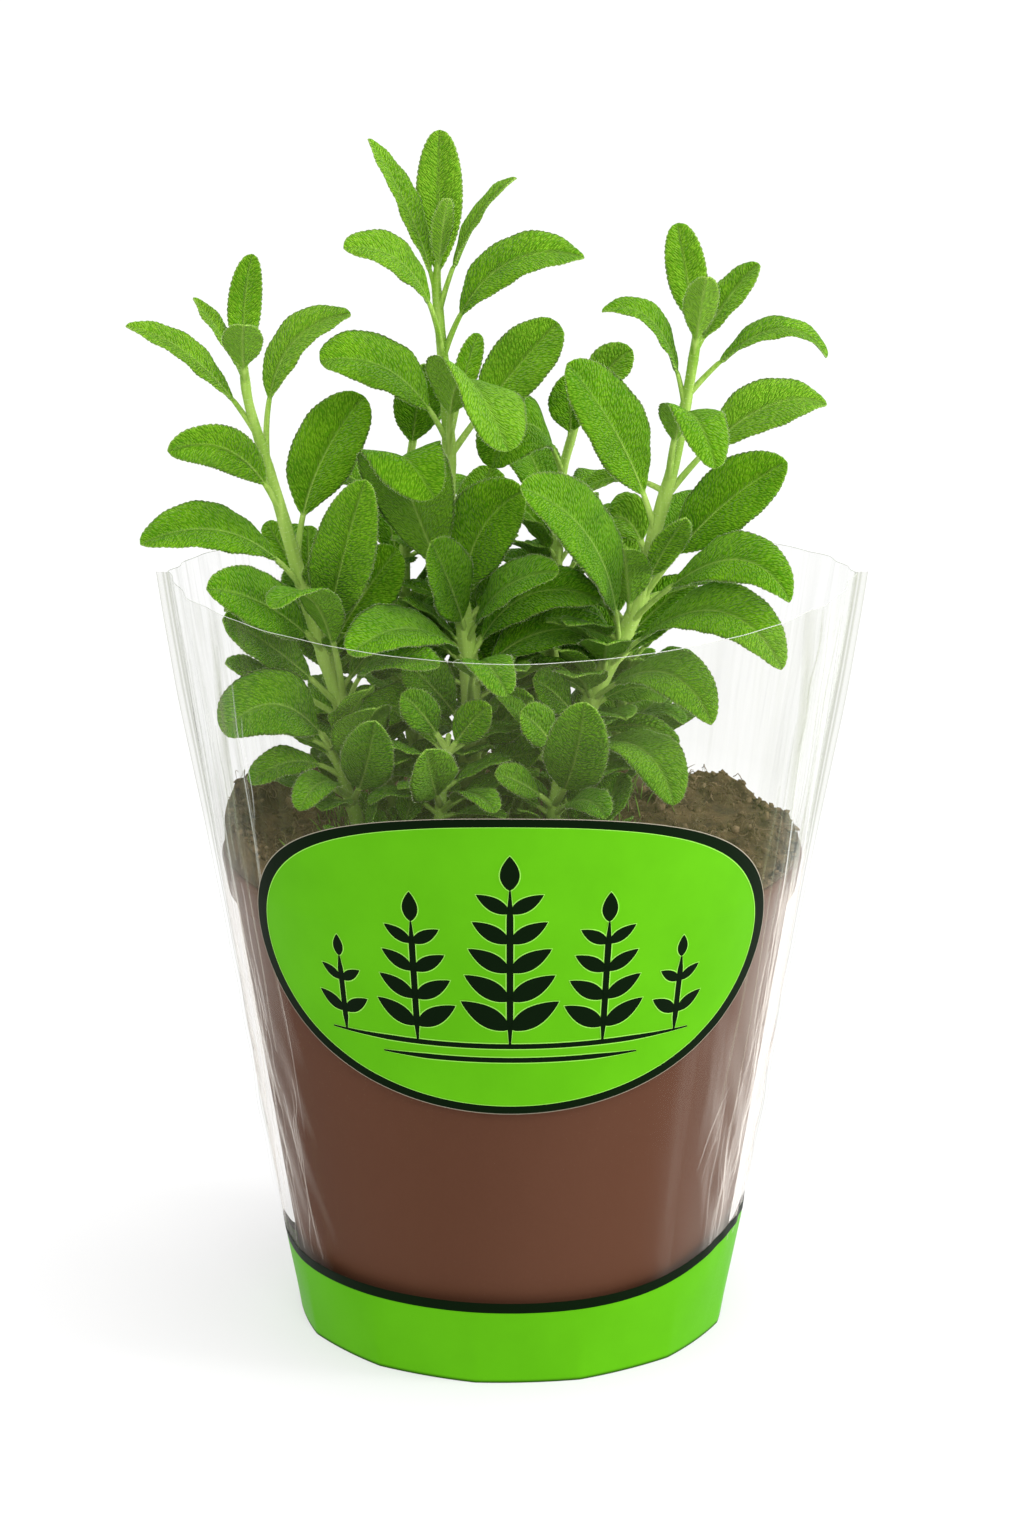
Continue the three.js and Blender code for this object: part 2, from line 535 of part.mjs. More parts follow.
function leafMidrib(base, leaf) {
  const tip = vector(leaf.tip);
  const middle = base.clone().lerp(tip, 0.5);
  const via = leaf.via ? vector(leaf.via) : middle.setZ(middle.z + USUAL_RISE);
  return new THREE.QuadraticBezierCurve3(base, via, tip);
}

// The way across the blade, from where its upper face looks.
function leafAcross(base, leaf) {
  const chord = vector(leaf.tip).sub(base).normalize();
  const inward = new THREE.Vector3(-chord.x, -chord.y, 0).multiplyScalar(INWARD_LEAN);
  const up = leaf.up ? vector(leaf.up) : inward.setZ(1);
  return new THREE.Vector3().crossVectors(up, chord).normalize();
}

function leafSection(centre, tangent, acrossChord, station, fold) {
  const across = acrossChord.clone().addScaledVector(tangent, -acrossChord.dot(tangent)).normalize();
  const up = new THREE.Vector3().crossVectors(tangent, across);
  const rise = fold * station.half;
  const edge = (side, lift) => centre.clone()
    .addScaledVector(across, side * station.half)
    .addScaledVector(up, rise + lift);
  const line = [edge(1, station.left), centre, edge(-1, station.right)];
  const shift = (point, amount) => point.clone().addScaledVector(up, amount);
  return {
    top: line.map((point) => shift(point, station.thick)),
    bottom: line.map((point) => shift(point, -station.thick)),
  };
}

// Both faces are split into triangles alike, so that the thin blade never crosses itself.
function leafSolid(base, leaf) {
  const curve = leafMidrib(base, leaf);
  const across = leafAcross(base, leaf);
  const sections = leafStations(leaf).map((station) => (
    leafSection(curve.getPointAt(station.t), curve.getTangentAt(station.t), across, station,
      leaf.fold ?? USUAL_FOLD)));
  const points = sections.flatMap(({ top, bottom }) => [...top, ...bottom]);
  const index = [];
  const quad = (a, b, c, d) => index.push(a, b, c, a, c, d);
  for (let i = 0; i < sections.length - 1; i += 1) {
    const near = i * 6;
    const far = near + 6;
    quad(near + 1, far + 1, far, near);
    quad(near + 1, near + 2, far + 2, far + 1);
    quad(near + 4, near + 3, far + 3, far + 4);
    quad(near + 4, far + 4, far + 5, near + 5);
    quad(near, far, far + 3, near + 3);
    quad(near + 2, near + 5, far + 5, far + 2);
  }
  const end = (sections.length - 1) * 6;
  quad(0, 3, 4, 1);
  quad(1, 4, 5, 2);
  quad(end, end + 1, end + 4, end + 3);
  quad(end + 1, end + 2, end + 5, end + 4);
  return closedBody(points, index);
}

function leafSolids(stem) {
  const curve = stemCurve(stem);
  return stem.leaves.map((leaf) => leafSolid(stemPointAt(curve, leaf.at), leaf));
}

function leafyStem(stem) {
  return largestBody(wasm.Manifold.union([stemSolid(stem), ...leafSolids(stem)]));
}

// Assembly

function finish(colour, roughness, opacity = 1) {
  return new THREE.MeshStandardMaterial({
    color: colour, roughness, metalness: 0, opacity, transparent: opacity < 1,
  });
}

function namedMesh(name, solid, material) {
  const mesh = new THREE.Mesh(toGeometry(solid), material);
  mesh.name = name;
  return mesh;
}

const pottedSage = new THREE.Group();
pottedSage.add(namedMesh('pot', potSolid(), finish(COLOURS.pot, 0.5)));
pottedSage.add(namedMesh('soil', soilSolid(), finish(COLOURS.soil, 0.95)));
pottedSage.add(namedMesh('sleeve', sleeveSolid(), finish(COLOURS.film, 0.2, 0.3)));
for (const stem of STEMS) {
  pottedSage.add(namedMesh(stem.name, leafyStem(stem), finish(COLOURS.leaf, 0.8)));
}

export default pottedSage;
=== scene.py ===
"""Potted sage: fine leaves, moulded pot, fibrous soil, printed film sleeve, floor, light and camera."""
import itertools
import math
import random

import bpy
import numpy as np
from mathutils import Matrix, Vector, kdtree, noise


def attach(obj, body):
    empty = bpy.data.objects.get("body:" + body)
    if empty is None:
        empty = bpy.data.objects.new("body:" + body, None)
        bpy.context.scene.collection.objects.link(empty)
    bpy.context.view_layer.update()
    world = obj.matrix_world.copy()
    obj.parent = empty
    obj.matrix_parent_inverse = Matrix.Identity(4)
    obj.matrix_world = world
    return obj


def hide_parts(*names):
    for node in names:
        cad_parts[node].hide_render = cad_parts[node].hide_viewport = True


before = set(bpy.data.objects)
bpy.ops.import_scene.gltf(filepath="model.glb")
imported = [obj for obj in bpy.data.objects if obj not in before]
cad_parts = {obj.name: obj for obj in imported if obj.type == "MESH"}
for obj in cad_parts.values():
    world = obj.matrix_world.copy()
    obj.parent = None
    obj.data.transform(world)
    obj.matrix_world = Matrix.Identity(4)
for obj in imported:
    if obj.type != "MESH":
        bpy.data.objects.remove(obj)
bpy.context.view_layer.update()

# Lengths are millimetres here, and metres in Blender
MM = 0.001
# The smallest ring of a turned shape, in place of a point on its axis
AXIS = 0.01

# Strands: how thin they end, and a direction that none of them runs along
STRAND_END = 0.3
STRAND_ASIDE = (0.3, 0.2, 1.0)

# Pot, as in the solids
POT_HEIGHT = 119
POT_BASE_RADIUS = 50
POT_RIM_RADIUS = 70
POT_RIM_DEPTH = 9
POT_RIM_STEP = 1.3
POT_RIM_HOLLOW = 0.9
POT_RIM_ROUND = 0.5
POT_WALL = 1.5
POT_WALL_WAVE = 0.02
POT_WALL_WAVE_PITCH = 5
POT_FLOOR = 2.2
POT_FLOOR_ROUND = 2
POT_FOOT = 5
POT_FOOT_ROUND = 1.5
POT_TAPER = (POT_RIM_RADIUS - POT_RIM_STEP - POT_BASE_RADIUS) / POT_HEIGHT
POT_SIDES = 180
RIM_WEAR = 4
FOOT_WEAR = 5
DRAIN_HOLES = 6
DRAIN_RADIUS = 4
DRAIN_CIRCLE = 35
DRAIN_SIDES = 32
GAP = 0.35

# Soil
SOIL_TOP = 120
SOIL_HEAP = 3
SOIL_LUMP = 1.4
SOIL_LUMP_PITCH = 7.5
SOIL_SHOULDER = 114
SOIL_ROUGH = 1.9
SOIL_ROUGH_PITCH = 5
SOIL_FRACTAL = (0.7, 2.1, 4)
SOIL_SECTORS = 220
SOIL_RINGS = 70
EDGE_REACH = 69.3
EDGE_RISE = 4.5
EDGE_SHARE = 0.8
EDGE_RUN = 60

# Crumbs and fibres on the soil: how many in the middle and at the edge, and the ranges of their forms
CRUMBS = 1800
EDGE_CRUMBS = 900
CRUMB_SMALLEST = 0.35
CRUMB_RANGE = 1.1
EDGE_CRUMB_RANGE = 0.9
CRUMB_KNOCKS = (0.6, 1.2)
CRUMB_AXES = ((0.7, 1.5), (0.6, 1.1), (0.5, 1.0))
CRUMB_LIFT = (0.1, 0.8)
DARK_CRUMBS = 0.9
DARK_CRUMB_TONE = 0.35
PALE_CRUMB_TONE = (0.3, 0.8)
FIBRES = 1150
EDGE_FIBRES = 420
FIBRE_POINTS = 6
FIBRE_BEND = (-0.5, 0.5)
FIBRE_LENGTH = (1.5, 6)
FIBRE_ARCH = (0.2, 1.4)
FIBRE_LIFT = 0.2
FIBRE_RISE = 1.0
EDGE_FIBRE_RISE = 3.0
FIBRE_RADIUS = (0.06, 0.17)
FIBRE_TONE = (0.1, 0.75)

# Film sleeve: ranges of two heights or angles say where something starts and where it is full
FILM = 0.7
SLEEVE_HEIGHT = 187
SLEEVE_SLACK = 0.45
SLEEVE_MOUTH_HALF = 80.5
SLEEVE_MOUTH_FRONT = 76
SLEEVE_MOUTH_BACK = 46
SLEEVE_CORNER_POWER = 1.75
FILM_SECTORS = 300
FILM_ROWS = 84
LEFT_SHADE = 1.7
MOUTH_BEAD = 0.09
MOUTH_BEAD_SIDES = 6
# The mouth's bead carries painted shade and a painted highlight
MOUTH_BEAD_MARKS = {"dark": 0.12, "bright": 0.35}
FOOT_FACETS = 13
FOOT_FACET_TOP = 24
FOOT_FACET_SAG = 0.7
FOOT_FACET_TURN = 0.35

# Ripples: each wave has a number round the film, a slope per millimetre of height and a start
FOLD_WAVES = ((23, 0.02, 0), (7, 0.011, 1.7))
FOLD_DEPTH = 0.9
FOLD_IN_FRONT = 0.15
CRINKLE_WAVES = ((31, 0.11, 0), (9, 0.19, 0))
CRINKLE_DEPTH = 0.45
CRINKLE_TOP = (105, 60)
CRINKLE_FOOT = (18, 34)

# Milky places of the film, by degrees from the middle of the front and by height; the strong milk on the
# right is partly painted light
LIT_MILK_RIGHT = 0.22
LIT_MILK_RIGHT_ANGLES = (30, 62)
MILK_LEFT = 0.035
MILK_LEFT_ANGLES = (-48, -70)
MILK_TOP = (126, 110)
MILK_ABOVE = 0.04
MILK_ABOVE_ANGLES = (45, 75)
MILK_ABOVE_FOOT = (112, 130)
MILK_BEHIND = (150, 110)

# Seams: share of the fin's reach, how far its bead stands out there, and how dark it is
SEAM_REACH = 3
SEAM_PROFILE = ((-0.1, 0, 0), (0.15, 0.2, 0.3), (0.3, 0.05, 0.03), (0.45, 0.2, 0.25),
                (0.6, 0.05, 0.02), (0.75, 0.05, 0.02), (0.9, 0.05, 0.05), (1.0, 0.05, 0.22))
SEAM_HALF_THICK = 0.06
SEAM_LOW_REACH = 0.5
SEAM_WIDENS = (90, 160)
SEAM_STARTS = (5, 45)
SEAM_SWAYS = (0, 60)
SEAM_SWAY = 0.6
SEAM_WAVES = ((0.5, 9.0), (0.3, 3.7))
SEAM_DARK = 0.8
SEAM_DARKENS = (20, 60)

# Creases: places are degrees from the front, lengths millimetres, and the rest ranges of random draws; their
# grey is painted shade and their white painted highlight
CREASE_POINTS = 18
CREASE_WAVES = (1.5, 4)
CREASE_TURN = 6
CREASE_SWAY = 0.45
CREASE_FADE = 0.7
CREASE_NEAREST_SEAM = 88
CREASES_LOW = 24
LONG_CREASES = 34
LONG_CREASE_PLACES = 34
LONG_CREASE_CROWDING = 1.5
LONG_CREASE_TOP = 140
LONG_CREASE_LENGTH = (25, 110)
LONG_CREASE_WIDTH = (0.25, 0.7)
LONG_CREASE_WIDEST = 2.4
LONG_CREASE_LEAN = (-4, 3)
SHADED_CREASES = 0.75
CREASE_SHADE = (0.1, 0.3)
CREASE_HIGHLIGHT = (0.15, 0.4)
BROAD_FOLD = 4.5
BROAD_FOLD_TOP = (60, SLEEVE_HEIGHT)
BROAD_FOLD_FOOT = (63, 134)
BROAD_FOLD_SHADE = 0.22
SHORT_CREASES = 64
SHORT_CREASE_TOP = (44, 122)
SHORT_CREASE_LENGTH = (12, 50)
SHORT_CREASE_WIDTH = (0.2, 0.55)
SHORT_CREASE_WIDEST = 2.2
SHORT_CREASE_HIGHLIGHT = (0.06, 0.3)
BELOW_PANEL_PLACE = 52
BELOW_PANEL_LEAN = (-9, 4)
BESIDE_PANEL_PLACE = 62
BESIDE_PANEL_LEAN = (-2, 2)

# Printing on the film: angles are degrees from the middle of the front, towards +X
PANEL_MIDDLE = (-0.4, 111.4)
PANEL_HALF_ANGLE = 57.7
PANEL_HALF_HEIGHT = 37.8
PANEL_FOOT = PANEL_MIDDLE[1] - PANEL_HALF_HEIGHT
OUTLINE_WIDTH = 2.0
HALO_WIDTH = 0.16
INK_OVERLAP = 0.01
OVAL_SECTORS = 240
PANEL_CENTRE = 0.001
PANEL_ROWS = 40
HALO_ROWS = 3
LINE_ROWS = 5
INK_LIFT = 0.06
BAND_FOOT = 0.05
BAND_TOP = 19.5
BAND_OVERLAP = 0.4
BAND_ROWS = 16
BAND_LINE = 2.7
BAND_CLIMB = 7.2
BAND_CLIMB_AT = 76
BAND_CLIMB_SPREAD = 30
BAND_LEFT_CLIMB = 2.2
BAND_LEFT_AT = 88
BAND_LEFT_SPREAD = 13
BAND_BEHIND = (88, 103)
BAND_DROP = 6.5

# Sprigs on the panel: each one's place, height and lowest leaf, over ground lines of a half length and drop
SPRIGS = ((0, 40, 14), (-22, 31, 12), (22, 31, 12), (-41, 19, 9), (41, 19, 9))
SPRIG_FOOT = -20
SPRIG_EDGE = 0.26
SPRIG_STALK = 1.5
SPRIG_STALK_POINTS = 24
SPRIG_STALK_LEAN = 0.001
SPRIG_PAIR_PITCH = 8
SPRIG_FIRST_PAIR = 0.6
SPRIG_PAIRS_END = 0.35
SPRIG_TAPER = 0.45
SPRIG_SPREAD = 58
SPRIG_LEAF_WIDTH = 0.4
SPRIG_BUD = (0.62, 0.3)
GROUND_LINES = ((45, 0), (31, 3.6))
GROUND_LINE_WIDTH = 1.3
GROUND_LINE_POINTS = 60
STROKE_TIP = 0.3
STROKE_TAPER = 4
STROKE_COLUMNS = 4
PRINTED_LEAF_ROWS = 15
PRINTED_LEAF_COLUMNS = 7
PRINTED_LEAF_POWER = 0.85

# Stems
ROOT_TOP = 127
STEM_FOOT = 112
STEM_SUNK = 5
STEM_TIP = 0.1
STEM_TIP_HEIGHT = 0.8
STEM_TIP_SHARE = 0.4
STEM_SIDES = 24
STEM_STEP = 1.2
STEM_SQUARE = 0.05
STEM_GROOVE = 0.03
STEM_NODE_SWELL = 0.05
STEM_NODE_REACH = 2.2
STEM_HAIRS_PER_MM = 16
STEM_USUAL_RADIUS = 2.5
AXIS_STEPS = 24
AXIS_SKIP = 6

# Leaves: columns are shares of the half width, on the upper face from one margin to the other
LEAF_MARKS = ("rib", "vein", "under", "slant", "cross", "fade", "margin", "tone", "hair")
MIDRIB_POINTS = 120
LEAF_STEP = 0.42
LEAF_COLUMNS = (1, 0.87, 0.64, 0.38, 0.13, 0, -0.13, -0.38, -0.64, -0.87, -1)
SMALL_LEAF_STEP = 0.62
SMALL_LEAF_COLUMNS = (1, 0.84, 0.5, 0.16, 0, -0.16, -0.5, -0.84, -1)
LEAST_BLADE_ROWS = 14
STALK_STEP = 1.1
LEAST_STALK_ROWS = 4
STALK_HALF_WIDTH = 0.95
STALK_HALF_THICK = 0.75
STALK_NARROWS = 0.25
STALK_THINS = 0.3
STALK_UNDER_BLADE = 0.7
BLADE_HALF_THICK = 0.3
BLADE_START = 0.05
BLADE_END = 0.0005
BLADE_POWER = 0.74
BLADE_FULLNESS = 0.35
BLADE_SKEW = 1.1
ROUND_UNTIL = 0.03
TOOTH_PITCH = 1.25
TOOTH_DEPTH = 0.32
TOOTH_LAG = 0.6
TOOTH_PHASES = 3
TOOTH_UNEVEN = 0.4
TEETH_FULL_AT = 2.5
VEIN_PITCH = 3.1
VEIN_DEPTH = 0.12
VEIN_SLANT = 0.75
VEIN_SHARPNESS = 7
VEIN_OUTER = (1.0, 0.55)
VEIN_INNER = (0.02, 0.15)
RIB_GROOVE = 0.22
RIB_RIDGE = 0.5
RIB_REACH = 0.62
MARGIN_WAVE = 0.09
MARGIN_RUFFLE = 0.16
RUFFLE_RUN = 1.1
PUFF = 0.08
LEAF_FOLD = 0.2
FOLD_CURVE = 1.2
USUAL_STALK = 0.27
USUAL_RISE = 3
USUAL_POINT = 0.25
POINTED_TIP = 0.32
INWARD_LEAN = 0.6
# Leaf tone by height: painted shade on low leaves, painted light on high ones, and a random spread
LIGHT_TONE_FROM = 165
LIGHT_TONE_RUN = 105
TONE_SPREAD = 0.55
HAIR_LENGTH = 0.42
HAIR_WIDTH = 0.08
HAIR_SCATTER = 0.35
HAIR_LENGTHS = (0.6, 1.25)
HAIR_CORNERS = (0, 2.1, 4.2)
HAIR_ASIDE = (0.31, 0.77, 0.55)
HAIR_FORWARD = 0.5
NO_MARGIN = 9

# Small leaves that fill the stems low in the sleeve, where the plants are too crowded to tell apart
SMALL_LEAVES = {"stem_left": 20, "stem_centre": 32, "stem_right": 26, "stem_back_right": 24,
                "stem_back_left": 26, "shoot_left": 8, "shoot_front": 10, "shoot_front_right": 10,
                "shoot_back": 10}
SMALL_LOW = 129
SMALL_HIGH = 186
SMALL_FROM_ENDS = 3
SMALL_LENGTH = (12, 29)
SMALL_SHAPE = (0.42, 0.56)
SMALL_RISE = (0.15, 1.1)
SMALL_STALK = 0.22
SMALL_ARCH = 0.16
SMALL_CLEARANCE = 1.5
SMALL_FRONT = -27
SMALL_ABOVE_SOIL = 1.5
SMALL_TRIES = 120
SLEEVE_SHARE = 0.93
SAMPLES_ALONG = (0.12, 1, 13)
SAMPLES_ACROSS = 5

# Young growth that comes up from the soil between the stems
YOUNG_LEAVES = 64
YOUNG_ACROSS = (-37, 21)
YOUNG_ALONG = (-31, 24)
YOUNG_LENGTH = (14, 36)
YOUNG_SHAPE = (0.28, 0.44)
YOUNG_RISE = (0.75, 1.4)
YOUNG_STALK = 0.48
YOUNG_DEPTH = 1
MOSS_BLADES = 1300
MOSS_POINTS = 5
MOSS_SPREAD = 6
MOSS_LENGTH = (2.5, 8)
MOSS_LEAN = (0.1, 0.9)
MOSS_BEND = (0, 0.8)
MOSS_DROOP = 0.25
MOSS_DEPTH = 0.3
MOSS_RADIUS = (0.1, 0.24)

# Seeds of the random draws, one for each kind of thing
SOIL_SEED = 7
CREASE_SEED = 12
SMALL_SEED = 31
STEM_SEED = 100
YOUNG_SEED = 200

# Colours in linear light
LEAF_DARK = (0.035, 0.150, 0.001, 1)
LEAF_GREEN = (0.172, 0.432, 0.003, 1)
LEAF_PALE = (0.350, 0.625, 0.050, 1)
LEAF_UNDER = (0.270, 0.500, 0.050, 1)
LEAF_SHEEN = (0.8, 1.0, 0.55, 1)
STEM_GREEN = (0.165, 0.330, 0.024, 1)
STEM_PALE = (0.500, 0.690, 0.170, 1)
HAIR_WHITE = (0.780, 0.880, 0.560, 1)
POT_BROWN = (0.081, 0.032, 0.0165, 1)
POT_BROWN_WORN = (0.125, 0.057, 0.036, 1)
SOIL_DARK = (0.066, 0.047, 0.025, 1)
SOIL_MID = (0.185, 0.125, 0.062, 1)
SOIL_PALE = (0.390, 0.280, 0.165, 1)
INK_GREEN = (0.096, 0.385, 0.005, 1)
INK_GREEN_DEEP = (0.082, 0.340, 0.004, 1)
INK_DARK = (0.0015, 0.007, 0.001, 1)
INK_PALE = (0.260, 0.620, 0.080, 1)
INK_EDGE = (0.330, 0.300, 0.230, 1)
FILM_WHITE = (0.93, 0.95, 0.93, 1)
FILM_WARM = (0.90, 0.84, 0.76, 1)
FILM_GREY = (0.19, 0.22, 0.08, 1)
FLOOR_WHITE = (0.36, 0.36, 0.36, 1)
PAPER_GREY = (0.30, 0.30, 0.30, 1)
WHITE = (1, 1, 1, 1)

# Sizes of surface patterns: leaf bumps per millimetre along and across, and the film's streaks
PEBBLES_PER_MM = (1.75, 1.2)
PEBBLE_SHIFT = 90
FILM_FOLD_STRETCH = (1, 0.1)
FILM_STREAK_STRETCH = (1, 0.03)

# Camera, at the photograph's distance and angle
CAMERA_PITCH = 17.7
CAMERA_DISTANCE = 1432
CAMERA_TARGET_HEIGHT = 138
CAMERA_LENS = 139.45
CAMERA_CLIP = (0.05, 50)
SENSOR = 36

# Studio, in metres: each softbox has a place, what it faces, its width and height, and its power
FLOOR_SIZE = 30
FLOOR_GLOW = 0.54
WORLD_STRENGTH = 0.95
SUN_STRENGTH = 1.15
SUN_SPREAD = 28
SUN_WAY = (-0.2, 0.08, -1.0)
SOFTBOXES = {
    "softbox_left": ((-1.3, -0.7, 0.9), (0, 0, 0.15), (0.5, 1.1), 2),
    "softbox_right": ((1.45, -0.35, 0.45), (0, 0, 0.12), (0.4, 1.0), 18),
    "softbox_front": ((0.2, -1.6, 1.0), (0, 0, 0.15), (1.0, 0.8), 12),
}


def leaf(at, tip, wide, **more):
    """A leaf's form: the height where it leaves the stem, its tip and its width.

    It may also have up, the way its upper face looks; via, the point that its midrib bends towards;
    stalk, the share of its length that is stalk; pointed, from 0 for a round tip to 1 for a sharp
    one; and small, for fewer faces.
    """
    return dict(at=at, tip=tip, wide=wide, **more)


